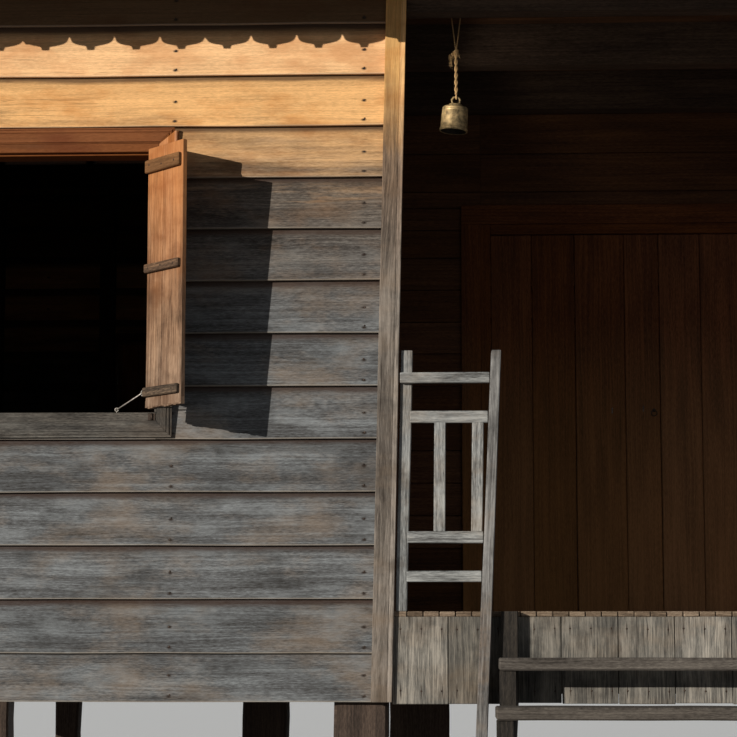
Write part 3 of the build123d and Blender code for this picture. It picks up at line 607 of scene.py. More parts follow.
def nail_places(rnd, origin, along, inward, length, run_start, holes, bottom):
    """Places of the nails of one course that aren't over a window."""
    found = []
    first = math.ceil(run_start / NAIL_PITCH)
    count = int(length / NAIL_PITCH) + 2
    gap = NAIL_HOLE_EDGE
    for i in range(first, first + count):
        run = i * NAIL_PITCH - run_start
        if not NAIL_EDGE < run < length - NAIL_EDGE:
            continue
        for rise in NAIL_RISES:
            z = bottom + rise
            if any(a - gap < run < b + gap and c - gap < z < d + gap for a, b, c, d in holes):
                continue
            wander = rnd.uniform(-NAIL_WANDER, NAIL_WANDER)
            place = origin + along * (run + wander) + inward * (rise * LAP_LEAN)
            place.z = z + rnd.uniform(-NAIL_WANDER, NAIL_WANDER)
            found.append((place, -inward))
    return found


def nail_heads(name, places, radius):
    """Small domed nail heads."""
    sides = 7
    store = Store(name)
    for place, out in places:
        out = Vector(out).normalized()
        side = out.orthogonal().normalized()
        up = out.cross(side)
        start = len(store.points)
        for ring, (r, h) in enumerate(((1.0, -0.0006), (0.9, 0.0008), (0.45, 0.0016))):
            for i in range(sides):
                turn = WHOLE_TURN * i / sides
                way = side * math.cos(turn) + up * math.sin(turn)
                store.points.append(place + way * radius * r + out * h)
            if ring:
                store.join(start + (ring - 1) * sides, sides)
        store.cap(start + 2 * sides, sides)
    store.build(iron, "iron")


def window_hole(middle):
    """Hole of a window in a wall's own run, as (from, to, bottom, top)."""
    half = OPENING + REVEAL_SIDE
    return (middle - half, middle + half, SILL - REVEAL_SILL, HEAD + REVEAL_HEAD)


def make_walls():
    """The lapped walls of all sides and their nails."""
    wing = HALF - RECESS
    deep = REAR - FRONT
    long = deep - 2 * SIDE_INSET
    near, far = FRONT + SIDE_INSET, REAR - SIDE_INSET
    left_start = NAIL_PITCH * 10 - HALF - NAIL_START
    right_start = NAIL_PITCH * 10 + RECESS + NAIL_START
    left_hole, right_hole = [window_hole(HALF - WINDOW_X)], [window_hole(WINDOW_X - RECESS)]
    side_holes = [window_hole(y - SIDE_INSET) for y in (deep / 4, deep * 3 / 4)]
    rear_holes = [window_hole(HALF + x) for x in (-WINDOW_X, 0, WINDOW_X)]
    x, y = Vector((1, 0, 0)), Vector((0, 1, 0))
    walls = (
        ("front_boards_left", (-HALF, FRONT, 0), x, y, wing, left_start, left_hole, "front_wall_left"),
        ("front_boards_right", (RECESS, FRONT, 0), x, y, wing, right_start, right_hole, "front_wall_right"),
        ("side_boards_right", (HALF, near, 0), y, -x, long, SIDE_RUN, side_holes, "side_wall_right"),
        ("side_boards_left", (-HALF, far, 0), -y, x, long, SIDE_RUN, side_holes, "side_wall_left"),
        ("rear_boards", (HALF, REAR, 0), -x, -y, 2 * HALF, SIDE_RUN, rear_holes, "rear_wall"),
    )
    nails = []
    for seed, (name, *wall) in enumerate(walls, 11):
        nails += lapped_wall(Boards(name, seed, wander=0.0016), *wall)
    nail_heads("wall_nails", nails, 0.0042)


def level_rows(boards, axis, x, y, lines):
    """Level boards above each other between lines, along X or Y, filling a wall's depth, with tongues."""
    for low, high in zip(lines, lines[1:]):
        pieces = [(low, high - low - 0.004, 0.0)]
        if high < lines[-1]:
            pieces.append((high - 0.012, 0.018, 0.36))
        for rise, tall, inset in pieces:
            if axis == "X":
                run, deep = Vector((x[1] - x[0], 0, 0)), Vector((0, y[0] - y[1], 0))
                start = Vector((x[0], y[1], rise))
            else:
                run, deep = Vector((0, y[1] - y[0], 0)), Vector((x[0] - x[1], 0, 0))
                start = Vector((x[1], y[0], rise))
            boards.add(start + deep * inset, run, (0, 0, tall), deep * (1 - 2 * inset))


def box_of(node):
    """A node's ranges on the three axes."""
    return tuple(zip(*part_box(node)))


# Heights over the floor at which the inner boards meet
HALL_JOINTS = (
    0.0, 0.17, 0.335, 0.5, 0.665, 0.83, 0.995, 1.16, 1.325, 1.487, 1.653, 1.819, 1.965, 2.079, 2.163,
    2.363, 2.57,
)
INNER_BOARD = 0.18
INNER_THICK = 0.045


def hall_lines(top):
    """Heights of the joints of the inner boards, up to a wall's top."""
    lines = [FLOOR + rise for rise in HALL_JOINTS if FLOOR + rise < top - 0.1]
    while top - lines[-1] > INNER_BOARD + 0.02:
        lines.append(lines[-1] + INNER_BOARD)
    return [*lines, top]


def make_inner_walls():
    """Level boards of the veranda's side walls and of the hall's front wall."""
    boards = Boards("inner_boards", 21, wander=0.001, step=0.6)
    x, y, z = box_of("veranda_side_walls")
    lines = hall_lines(z[1])
    for side in (-1, 1):
        level_rows(boards, "Y", sorted((side * x[1], side * (x[1] - INNER_THICK))), y, lines)
    hall_x, hall_y, hall_z = box_of("hall_wall_sides")
    door_x, door_y, door_z = box_of("hall_wall_over_door")
    upper = lines[:-1] + [hall_z[1]]
    for side in (-1, 1):
        level_rows(boards, "X", sorted((side * hall_x[1], side * door_x[1])), hall_y, upper)
    over = [door_z[0]] + [h for h in upper if h > door_z[0] + 0.06]
    level_rows(boards, "X", door_x, door_y, over)
    boards.build(inner_wood, "inner_boards", "veranda_side_walls", "hall_wall_sides", "hall_wall_over_door")
    frieze = Boards("frieze_boards", 22)
    x, y, z = box_of("front_frieze")
    level_rows(frieze, "X", x, y, [z[0], (z[0] + z[1]) / 2, z[1]])
    frieze.build(wall_wood, "weathered_boards", "front_frieze")


def leaning(boards, foot, head, width, depth, tone=None):
    """Board from foot to head, both at its left front lower edge, running back by its depth."""
    foot, head = Vector(foot), Vector(head)
    boards.add(foot, head - foot, (width, 0, 0), (0, depth, 0), tone=tone)


def tapered(boards, foot, head, widths, depth):
    """Leaning board that narrows from its foot to its head."""
    start = len(boards.points)
    leaning(boards, foot, head, widths[0], depth)
    for i in range(start, len(boards.points)):
        place = boards.matrix.inverted() @ boards.points[i]
        share = (place.z - foot[2]) / (head[2] - foot[2])
        left = foot[0] + share * (head[0] - foot[0])
        grow = 1 + share * (widths[1] / widths[0] - 1)
        boards.points[i] = boards.matrix @ Vector((left + (place.x - left) * grow, place.y, place.z))


CORNER_FOOT = -RECESS - 0.08
CORNER_THICK = 0.025
CORNER_LEAN = math.tan(math.radians(1.26))
# Board and strip of a leaning corner board: place across, width, thickness and tone
CORNER_STRIPS = ((0, 0.0665, CORNER_THICK, 0.4), (0.0655, 0.0218, CORNER_THICK - 0.001, 0.7))
OUTER_CORNER = 0.095


def make_corner_boards():
    """Leaning corner boards with a groove and a strip, and the outer corner boards."""
    boards = Boards("corner_boards_made", 31, wander=0.0008)
    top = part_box("corner_boards")[1][2]
    rise = top - BASE
    for side in (-1, 1):
        for start, width, front, tone in CORNER_STRIPS:
            x = CORNER_FOOT + start
            if side > 0:
                x = -x - width
            foot, head = (x, FRONT - front, BASE), (x - side * CORNER_LEAN * rise, FRONT - front, top)
            leaning(boards, foot, head, width, front, tone)
    boards.build(corner_wood, "weathered_boards", "corner_boards")
    outer = Boards("outer_corner_boards_made", 32)
    thick = CORNER_THICK
    height = (0, 0, rise)
    for side in (-1, 1):
        for y, turn in ((FRONT, -1), (REAR, 1)):
            x = side * (HALF - OUTER_CORNER)
            outer.add((x, y, BASE), height, (side * (OUTER_CORNER + thick), 0, 0), (0, turn * thick, 0))
            behind = turn * (OUTER_CORNER - thick)
            across = (0, behind - turn * 0.002, 0)
            outer.add((side * HALF, y - behind, BASE), height, across, (side * thick, 0, 0))
    outer.build(corner_wood, "weathered_boards", "outer_corner_boards")


# Windows


# Moulding of the casings: distance out from the opening, and depth
CASING_PROFILE = (
    (0.0, 0.0), (0.0, -0.011), (0.004, -0.0135), (0.006, -0.0175), (0.042, -0.0175), (0.044, -0.014),
    (0.046, -0.0135), (0.048, -0.0165), (0.052, -0.018), (0.057, -0.0165), (0.0585, -0.012),
    (0.0605, -0.012), (0.0615, -0.0155), (0.067, -0.0155), (0.067, 0.0),
)
MITRE_GAP = 0.0006


def moulded_sides(store, matrix, half, low, high, profile):
    """Four mitred lengths of a moulding round an opening in the plane y = 0."""
    corners = [(-half, low, -1, -1), (half, low, 1, -1), (half, high, 1, 1), (-half, high, -1, 1)]
    size = len(profile)
    for i, first in enumerate(corners):
        second = corners[(i + 1) % 4]
        ends = Vector(first[:2]), Vector(second[:2])
        run = ends[1] - ends[0]
        start = len(store.points)
        offset = store.random.uniform(0, 30)
        shade = store.random.random()
        for at, (x, z, x_way, z_way) in enumerate((first, second)):
            step = run.normalized() * (-MITRE_GAP if at else MITRE_GAP)
            around = 0.0
            for j, (out, y) in enumerate(profile):
                if j:
                    around += math.dist(profile[j - 1], (out, y))
                store.points.append(matrix @ Vector((x + x_way * out + step.x, y, z + z_way * out + step.y)))
                store.grain.append((offset + run.length * at, offset * 0.3 + around))
                store.spot.append((0.0, 0.0))
                store.tone.append(shade)
        store.join(start, size)
        store.cap(start, size)
        store.cap(start + size, size, True)


def lining_boards(boards, matrix):
    """Boards that line a window's opening, with a thin stop at the head and a sill strip."""
    boards.matrix = matrix
    half = OPENING + REVEAL_SIDE
    low, high = SILL - REVEAL_SILL, HEAD + REVEAL_HEAD
    back = REVEAL_BACK
    out = (0, REVEAL_FRONT - back, 0)
    for x in (-half, OPENING):
        boards.add((x, back, SILL), (0, 0, HEAD - SILL), (REVEAL_SIDE, 0, 0), out, bevel=0.001)
    wide = (2 * half, 0, 0)
    boards.add((-half, back, low), wide, (0, 0, SILL - low - 0.0015), out)
    upper = HEAD + 0.0125
    boards.add((-half, back, upper), wide, (0, 0, high - upper), out)
    boards.add((-half, back, HEAD), wide, (0, 0, STOP_TALL), (0, 0.004 - back, 0), bevel=0.001)
    lip = (-half, back, HEAD + STOP_GAP)
    boards.add(lip, wide, (0, 0, LIP_TALL), (0, 0.016 - back, 0), bevel=0.001)


def facing_side(side, y):
    """Placing matrix of a side window."""
    return Matrix.Translation((side * HALF, y, 0)) @ Matrix.Rotation(side * math.pi / 2, 4, "Z")


def window_places():
    """Name and placing matrices of the windows on each side of the house."""
    deep = REAR - FRONT
    ys = (FRONT + deep / 4, FRONT + deep * 3 / 4)
    about = Matrix.Rotation(math.pi, 4, "Z")
    return {
        "front": [Matrix.Translation((x, FRONT, 0)) for x in (-WINDOW_X, WINDOW_X)],
        "side": [facing_side(side, y) for side in (-1, 1) for y in ys],
        "rear": [Matrix.Translation((x, REAR, 0)) @ about for x in (-WINDOW_X, 0, WINDOW_X)],
    }


def make_window_frames():
    """Moulded casings and lined openings of all windows."""
    half = OPENING + REVEAL_SIDE
    for index, (side, matrices) in enumerate(window_places().items()):
        casings = Store(side + "_window_casings", 40 + index)
        linings = Boards(side + "_window_linings", 50 + index, wander=0.0006, step=0.5)
        for matrix in matrices:
            moulded_sides(casings, matrix, half, SILL - REVEAL_SILL, HEAD + REVEAL_HEAD, CASING_PROFILE)
            lining_boards(linings, matrix)
        casings.build(casing_wood, "window_timber", side + "_window_frames")
        linings.build(casing_wood, "window_timber")


# Shutters


LEAF_GAP = 0.003
LEAF_WIDTH = (2 * OPENING - 0.01 + LEAF_GAP) / 4 - LEAF_GAP
LEAF_HEIGHT = 1.105
LEAF_THICK = 0.022
LEAF_STEP = 0.009
LEAF_STEP_THICK = 0.012
BATTEN = 0.018
BATTEN_INSET = 0.009
# Height and width of each batten
BATTENS = ((0.05, 0.04), (0.572, 0.036), (0.997, 0.054))
HINGE = (OPENING + 0.01, -0.0265)
LEAF_ANGLES = (math.radians(68), math.radians(48))
LEAF_LOW = FLOOR + 0.889
OUTER_DROP = 0.055
OVERRUN = 0.092
SEAT = 0.0003
SPLINTERS = 15
SPLINTER = 0.03


def shutter_leaf(faces, battens, matrix, rnd, nails):
    """One leaf: two boards with a crack between, a stepped free edge, a frayed foot and nailed battens."""
    faces.matrix = matrix
    battens.matrix = matrix
    split = LEAF_WIDTH * rnd.uniform(0.44, 0.56)
    step = LEAF_WIDTH - LEAF_STEP
    strips = ((0, split, LEAF_THICK), (split, step, LEAF_THICK), (step, LEAF_WIDTH, LEAF_STEP_THICK))
    for start, end, thick in strips:
        foot = rnd.uniform(0.006, 0.009)
        faces.add((start, 0, foot), (0, 0, LEAF_HEIGHT - foot), (end - start - SEAM, 0, 0), (0, -thick, 0))
    wide = step / SPLINTERS
    out = (0, 0.0016 - LEAF_THICK, 0)
    for i in range(SPLINTERS):
        foot = rnd.uniform(0, 0.006)
        faces.add((i * wide, -0.001, foot), (0, 0, SPLINTER), (wide, 0, 0), out, tone=0.2, bevel=0.001)
    wide = (LEAF_WIDTH - 2 * BATTEN_INSET, 0, 0)
    for low, tall in BATTENS:
        corner = (BATTEN_INSET, -LEAF_THICK, low)
        battens.add(corner, wide, (0, 0, tall - 0.002 * rnd.random()), (0, -BATTEN, 0), bevel=0.004)
        for share in (0.16, 0.5, 0.84):
            spot = Vector((share * LEAF_WIDTH, -LEAF_THICK - BATTEN, low + tall * rnd.uniform(0.4, 0.6)))
            nails.append((matrix @ spot, matrix.to_3x3() @ Vector((0, -1, 0))))


def open_leaf_matrices():
    """Placing matrices of the two open leaves at a window's right jamb, for a leaf that runs to -x."""
    angle, back = LEAF_ANGLES
    inner = Matrix.Translation((*HINGE, LEAF_LOW)) @ Matrix.Rotation(math.pi - angle, 4, "Z")
    end_x = HINGE[0] + LEAF_WIDTH * math.cos(angle)
    end_y = HINGE[1] - LEAF_WIDTH * math.sin(angle)
    near_x = end_x + OVERRUN * math.cos(back) - SEAT * math.sin(back)
    near_y = end_y - OVERRUN * math.sin(back) - SEAT * math.cos(back)
    outer = Matrix.Translation((near_x, near_y, LEAF_LOW - OUTER_DROP)) @ Matrix.Rotation(-back, 4, "Z")
    return [inner @ MIRROR, outer @ MIRROR]


def shutter_stops(battens, matrix):
    """Strips inside a closed window that cover the gaps between and round its leaves."""
    battens.matrix = matrix
    back, wide, high, out = LEAF_THICK + 0.0125, 0.03, 0.026, (0, -0.012, 0)
    for i in range(5):
        x = clamp(-OPENING + i * (LEAF_WIDTH + LEAF_GAP) - 0.011, -OPENING, OPENING - wide)
        battens.add((x, back, SILL), (0, 0, HEAD - SILL), (wide, 0, 0), out)
    for z in (SILL, HEAD - high):
        battens.add((-OPENING, back + 0.0125, z), (2 * OPENING, 0, 0), (0, 0, high), out)


def make_shutters():
    """Folding shutters: open at the front, closed at the sides and the rear."""
    nails = []
    for index, (side, matrices) in enumerate(window_places().items()):
        rnd = random.Random(70 + index)
        faces = Boards(side + "_shutter_boards", 80 + index, bevel=0.0025, wander=0.0007)
        battens = Boards(side + "_shutter_battens", 90 + index, wander=0.0006)
        for matrix in matrices:
            if side == "front":
                for mirror in (Matrix.Identity(4), MIRROR):
                    for leaf in open_leaf_matrices():
                        shutter_leaf(faces, battens, matrix @ mirror @ leaf, rnd, nails)
                continue
            for i in range(4):
                x = -OPENING + 0.005 + i * (LEAF_WIDTH + LEAF_GAP)
                leaf = Matrix.Translation((x, LEAF_THICK, SILL + SEAT))
                shutter_leaf(faces, battens, matrix @ leaf, rnd, nails)
            shutter_stops(battens, matrix)
        faces.build(shutter_wood, "shutter_timber", side + "_shutters")
        battens.build(batten_wood, "shutter_timber")
    nail_heads("shutter_nails", nails, 0.0045)


# Tubes


def ring_turns(count):
    """Angles once round, with the first one again at the end."""
    return [WHOLE_TURN * i / count for i in range(count + 1)]


def tube(path, radius, sides=8, taper=None):
    """Points and faces of a round tube along a path of points."""
    store = Store("")
    side = None
    last = len(path) - 1
    for i, place in enumerate(path):
        ahead = (path[min(i + 1, last)] - path[max(i - 1, 0)]).normalized()
        side = ahead.orthogonal() if side is None else side - ahead * side.dot(ahead)
        side = side.normalized()
        up = ahead.cross(side)
        r = radius * (taper(i / last) if taper else 1)
        for j in range(sides):
            turn = WHOLE_TURN * j / sides
            store.points.append(place + (side * math.cos(turn) + up * math.sin(turn)) * r)
    store.join(0, sides, len(path))
    store.cap(0, sides)
    store.cap(last * sides, sides, True)
    return store


def join_tubes(name, tubes, material, slot, *replaces, body="house"):
    """One object from several tubes."""
    whole = Store(name)
    for part in tubes:
        start = len(whole.points)
        whole.points += part.points
        whole.faces += [tuple(start + i for i in face) for face in part.faces]
    whole.build(material, slot, *replaces, body=body, smooth=True)


def circle(centre, across, up, radius, count):
    """Closed path round a centre in the plane of two directions."""
    across, up = Vector(across), Vector(up)
    return [centre + (across * math.cos(t) + up * math.sin(t)) * radius for t in ring_turns(count)]


# Bent end of a stay: distance across and height
HOOK = ((0.0, 0.008), (0.005, 0.002), (0.005, -0.008), (0.0, -0.014), (-0.006, -0.012))
STAY_RISE = 0.0545
EYE = 0.007
HOOK_EYE = 0.008


def stay_tubes(middle, turn):
    """Hook stay of one open shutter, with its two screw eyes."""
    foot = Vector((middle + turn * (OPENING - 0.16), FRONT - 0.006, SILL + 0.0105))
    head = Vector((middle + turn * (OPENING - 0.026), FRONT - 0.1689, foot.z + STAY_RISE))
    up = Vector((0, 0, 1))
    return [
        tube([foot, head], 0.0026),
        tube(circle(foot, (1, 0, 0), up, EYE, 16), 0.0021, 7),
        tube([foot - up * 0.013, foot - up * EYE], 0.0022),
        tube(circle(head, (0.8, 0.6, 0), up, HOOK_EYE, 16), 0.0022, 7),
        tube([head + up * z + Vector((turn * x, 0, 0)) for x, z in HOOK], 0.0024, 7),
    ]


def make_stays():
    """Hook stays with their screw eyes, and what is left of old hinges at the sills' corners."""
    tubes, knuckles = [], []
    hinges = Boards("hinge_remains", 101, bevel=0.0008, wander=0.0004)
    for side in (-1, 1):
        for turn in (-1, 1):
            tubes += stay_tubes(side * WINDOW_X, turn)
        corner = -side * (WINDOW_X - OPENING + 0.026)
        hinges.add((corner, FRONT - 0.0085, SILL - 0.036), (0, 0, 0.03), (0.03, 0, 0), (0, -0.0035, 0))
        knuckle = [Vector((corner + 0.016, FRONT - 0.014, SILL - z)) for z in (0.034, 0.006)]
        knuckles.append(tube(knuckle, 0.005))
    hinges.build(iron, "iron")
    join_tubes("hinge_knuckles", knuckles, iron, "iron")
    join_tubes("shutter_stays_made", tubes, zinc, "iron", "shutter_stays")


# Door


DOOR_HALF = 0.856
DOOR_HEAD = FLOOR + 1.939
JAMB = 0.05
JAMB_FACE = HALL - 0.01
LEAF_PITCH = 0.428
DOOR_GAP = 0.004
DOOR_BACK = HALL + 0.04
DOOR_FOOT = FLOOR + 0.0005
DOOR_TALL = 1.934
DOOR_THICK = 0.035
# Share of each leaf's width at which its two planks meet
SEAMS = (0.49, 0.59, 0.49, 0.4)
# Places of the slots in the leaves: across and over the floor
SLOTS = ((-0.244, 1.030), (-0.086, 1.039))
SLOT_TALL = 0.03
SLOT_WIDE = 0.008


def make_door():
    """The door's frame, its casing and its leaves of two planks each."""
    x, y, _ = box_of("door_frame")
    boards = Boards("door_frame_boards", 101, wander=0.0008)
    casing = x[1] - DOOR_HALF - JAMB
    high = (0, 0, DOOR_HEAD - FLOOR + JAMB)
    inner, outer = (0, JAMB_FACE - y[1], 0), (0, y[0] - HALL, 0)
    for side in (-1, 1):
        left = min(side * DOOR_HALF, side * (DOOR_HALF + JAMB))
        boards.add((left, y[1], FLOOR), high, (JAMB, 0, 0), inner)
        edges = sorted((side * (DOOR_HALF + JAMB + 0.001), side * x[1]))
        boards.add((edges[0], HALL, FLOOR), high, (edges[1] - edges[0], 0, 0), outer)
    boards.add((-DOOR_HALF, y[1], DOOR_HEAD), (2 * DOOR_HALF, 0, 0), (0, 0, JAMB), inner)
    low = DOOR_HEAD + JAMB + 0.001
    boards.add((x[0], HALL, low), (x[1] - x[0], 0, 0), (0, 0, casing - 0.001), outer)
    boards.build(door_wood, "door_timber", "door_frame")
    make_door_leaves()


def make_door_leaves():
    """Four leaves of two planks, and the slots in two of them."""
    leaves = Boards("door_planks", 102, bevel=0.003, wander=0.0005)
    for i, share in enumerate(SEAMS):
        left = -DOOR_HALF + i * LEAF_PITCH + DOOR_GAP / 2
        split = left + share * (LEAF_PITCH - DOOR_GAP)
        for start, end in ((left, split - SEAM), (split + SEAM, left + LEAF_PITCH - DOOR_GAP)):
            corner = (start, DOOR_BACK, DOOR_FOOT)
            leaves.add(corner, (0, 0, DOOR_TALL), (end - start, 0, 0), (0, -DOOR_THICK, 0))
    leaves.build(door_wood, "door_timber", "door_leaves")
    slots = Boards("door_slots", 103, bevel=0.0005, wander=0)
    for x, z in SLOTS:
        corner = (x - SLOT_WIDE / 2, HALL + 0.0055, FLOOR + z - SLOT_TALL / 2)
        slots.add(corner, (0, 0, SLOT_TALL), (SLOT_WIDE, 0, 0), (0, -0.0012, 0))
    slots.build(iron, "iron")


# Floors, skirt, ceiling


FLOOR_STRIP = 0.0675
ROOM_STRIP = 0.15
CEILING_BOARDS = 12


def lay_strips(boards, node, width, gap, start_of):
    """Strips from front to back, side by side over a node's box, each from its own start."""
    x, y, z = box_of(node)
    count = round((x[1] - x[0]) / width)
    each = (x[1] - x[0]) / count
    for i in range(count):
        left = x[0] + i * each
        start = start_of(left, left + each)
        boards.add((left, start, z[0]), (0, y[1] - start, 0), (each - gap, 0, 0), (0, 0, z[1] - z[0]))


def make_floors():
    """Floor strips of the veranda and the rooms, the skirt, and the ceiling's boards."""
    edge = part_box("veranda_floor")[0][1]
    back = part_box("room_floor")[0][1]
    veranda = Boards("veranda_strips", 111, bevel=0.003, wander=0.0006)
    rooms = Boards("room_strips", 112, bevel=0.003, wander=0.0006, step=1.0)

    def veranda_start(left, right):
        return edge + veranda.random.uniform(-0.004, 0.003)

    def room_start(left, right):
        return HALL if right > -RECESS + 0.01 and left < RECESS - 0.01 else back

    lay_strips(veranda, "veranda_floor", FLOOR_STRIP, 0.0035, veranda_start)
    veranda.build(floor_wood, "weathered_boards", "veranda_floor")
    lay_strips(rooms, "room_floor", ROOM_STRIP, 0.003, room_start)
    rooms.build(inner_wood, "inner_boards", "room_floor")
    make_skirt()
    make_ceiling()


def make_ceiling():
    """Boards of the veranda's ceiling, along the front."""
    x, y, z = box_of("veranda_ceiling")
    ceiling = Boards("ceiling_boards", 114, bevel=0.002, step=0.6)
    each = (y[1] - y[0]) / CEILING_BOARDS
    wide, thick = (x[1] - x[0], 0, 0), (0, 0, z[1] - z[0])
    for i in range(CEILING_BOARDS):
        ceiling.add((x[0], y[0] + i * each, z[0]), wide, (0, each - 0.003, 0), thick)
    ceiling.build(inner_wood, "inner_boards", "veranda_ceiling")


SKIRT_PITCH = 0.235
SKIRT_THICK = 0.022
SKIRT_RAIL = 0.08
# Nails of a skirt board: shares of the boards' pitch and heights over the skirt's foot
SKIRT_NAILS = (0.146, 0.515, 0.875)
SKIRT_RISES = (0.31, 0.055)


def make_skirt():
    """Upright skirt boards, each with two rows of three nails, and the rail behind."""
    x, y, z = box_of("veranda_skirt")
    skirt = Boards("skirt_boards", 113, bevel=0.0025, wander=0.0012, step=0.12)
    nails = []
    left = x[0]
    while left < x[1] - 0.02:
        right = min(left + SKIRT_PITCH, x[1])
        foot = z[0] + skirt.random.uniform(0, 0.006)
        skirt_board(skirt, left, right, y[0], foot, z[1] - foot)
        for share in SKIRT_NAILS:
            for rise in SKIRT_RISES:
                place = left + SKIRT_PITCH * share
                if place < right - 0.01:
                    wobble = skirt.random.uniform(-0.003, 0.003)
                    nails.append((Vector((place, y[0], z[0] + rise + wobble)), (0, -1, 0)))
        left += SKIRT_PITCH
    out = (0, SKIRT_THICK + 0.001 - (y[1] - y[0]), 0)
    skirt.add((x[0], y[1], z[1] - SKIRT_RAIL), (x[1] - x[0], 0, 0), (0, 0, SKIRT_RAIL), out)
    skirt.build(skirt_wood, "weathered_boards", "veranda_skirt")
    nail_heads("skirt_nails", nails, 0.0045)


def skirt_board(skirt, left, right, front, foot, tall):
    """One upright skirt board whose nail coordinates run across it and up."""
    start = len(skirt.spot)
    corner = (left, front + SKIRT_THICK, foot)
    skirt.add(corner, (0, 0, tall), (right - left - 0.003, 0, 0), (0, -SKIRT_THICK, 0))
    for i in range(start, len(skirt.spot)):
        up, over = skirt.spot[i]
        skirt.spot[i] = (over + 8 * SKIRT_STAIN_PITCH - SKIRT_PITCH * SKIRT_NAILS[0], up)


# Railing, planks and stair


POST_X = -RECESS + 0.028
POST_LEAN = math.tan(math.radians(1.4))
POST_TOP = 1.098
POST_WIDE = 0.0495
POST_DEEP = 0.06
PLANK_X = -RECESS + 0.427
PLANK_LEAN = math.tan(math.radians(2.62))
PLANK_TOP = 1.083
PLANK_DEEP = 0.12
RAIL_THICK = 0.028
# Each rail: height over the floor, height of its face, place of its face from the wall, overlap on the post
RAILS = ((0.956, 0.045, -0.028, 0.046), (0.789, 0.05, -0.014, 0), (0.284, 0.049, -0.014, 0),
         (0.122, 0.046, -0.014, 0))
BALUSTER = 0.048
BALUSTER_FOOT = 0.331
BALUSTER_HEAD = 0.791


def post_right(rise):
    """Right edge of the leaning post at a height over the floor."""
    return POST_X + 0.038 + rise * POST_LEAN


def plank_left(rise):
    """Left edge of the leaning plank at a height over the floor."""
    return PLANK_X - (PLANK_TOP - rise) * PLANK_LEAN


def make_railings():
    """Railing panels: leaning post, four rails and two balusters, and the long planks."""
    for side, node in ((-1, "railing_left"), (1, "railing_right")):
        boards = Boards(node + "_made", 121 + side, bevel=0.003, wander=0.0007)
        boards.matrix = Matrix.Scale(-side, 4, (1, 0, 0))
        x = POST_X - 0.007
        head = (x + POST_TOP * POST_LEAN, FRONT, FLOOR + POST_TOP)
        leaning(boards, (x, FRONT, FLOOR), head, POST_WIDE, POST_DEEP, 0.0)
        for rise, tall, front, overlap in RAILS:
            left = post_right(rise) - overlap
            corner = (left, FRONT + front + RAIL_THICK, FLOOR + rise)
            boards.add(corner, (plank_left(rise) - left, 0, 0), (0, 0, tall), (0, -RAIL_THICK, 0))
        last = plank_left(BALUSTER_FOOT + 0.002) - 0.005 - BALUSTER
        first = (post_right(BALUSTER_FOOT + 0.002) + last - BALUSTER) / 2
        front = FRONT - 0.014
        for x, lean in ((first, 0.004), (last, 0.007)):
            head = (x + lean, front, FLOOR + BALUSTER_HEAD)
            leaning(boards, (x, front, FLOOR + BALUSTER_FOOT), head, BALUSTER, RAIL_THICK)
        boards.build(rail_wood, "silver_timber", node)
    planks = Boards("stair_planks_made", 123, bevel=0.004, wander=0.0012)
    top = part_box("stair_planks")[1][2]
    foot = (PLANK_X - top * PLANK_LEAN, FRONT - PLANK_DEEP, 0)
    for side in (-1, 1):
        planks.matrix = Matrix.Scale(-side, 4, (1, 0, 0))
        tapered(planks, foot, (PLANK_X, FRONT - PLANK_DEEP, top), (0.051, 0.042), PLANK_DEEP)
    planks.build(silver_wood, "silver_timber", "stair_planks")


RISER = 0.19
GOING = 0.23
TREADS = 7
TREAD_NOSE = 0.02
TREAD_DEEP = 0.249
TOP_TREAD_DEEP = 0.1895
TREAD_THICK = 0.05
STRINGER = 0.039
STRINGER_LEAN = math.tan(math.radians(4.5))


def make_stair():
    """Worn treads on the stringers."""
    treads = Boards("stair_treads_made", 131, bevel=0.006, wander=0.002, step=0.2)
    for i in range(1, TREADS + 1):
        reach = i * GOING * STRINGER_LEAN - PLANK_X - STRINGER
        corner = (-reach, FRONT - i * GOING - TREAD_NOSE, FLOOR - i * RISER)
        deep = TOP_TREAD_DEEP if i == 1 else TREAD_DEEP
        treads.add(corner, (2 * reach, 0, 0), (0, deep, 0), (0, 0, -TREAD_THICK))
    treads.build(tread_wood, "stair_timber", "stair_treads")


STILT = 0.22
HALL_STILT = 0.3
PROP = 0.138
STILT_INSET = 0.045


def make_stilts():
    """Squared posts with chamfered edges under the house."""
    stilts = Boards("stilts_made", 141, bevel=0.012, wander=0.004, step=0.16)
    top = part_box("stilts")[1][2]
    front = FRONT + STILT_INSET
    hall = HALL + STILT_INSET - 0.001
    rear = REAR - STILT_INSET
    corner = HALF - STILT_INSET - 0.225
    middle = RECESS - 0.244
    spots = (
        (corner, front, STILT), (RECESS + 0.015, front, STILT), (corner, hall, STILT),
        (RECESS + 0.576, hall, STILT), (corner, rear - STILT, STILT), (RECESS + 0.9, rear - STILT, STILT),
        (middle, hall, HALL_STILT), (middle, rear - HALL_STILT, HALL_STILT),
        (HALF - STILT_INSET - 0.96 - PROP / 2, FRONT + 3.9 - PROP / 2, PROP),
    )
    for x, y, side in spots:
        for left in (-x - side, x):
            stilts.add((left, y, 0), (0, 0, top), (side, 0, 0), (0, side, 0))
    stilts.build(stilt_wood, "frame_timber", "stilts")


# Bell and rope


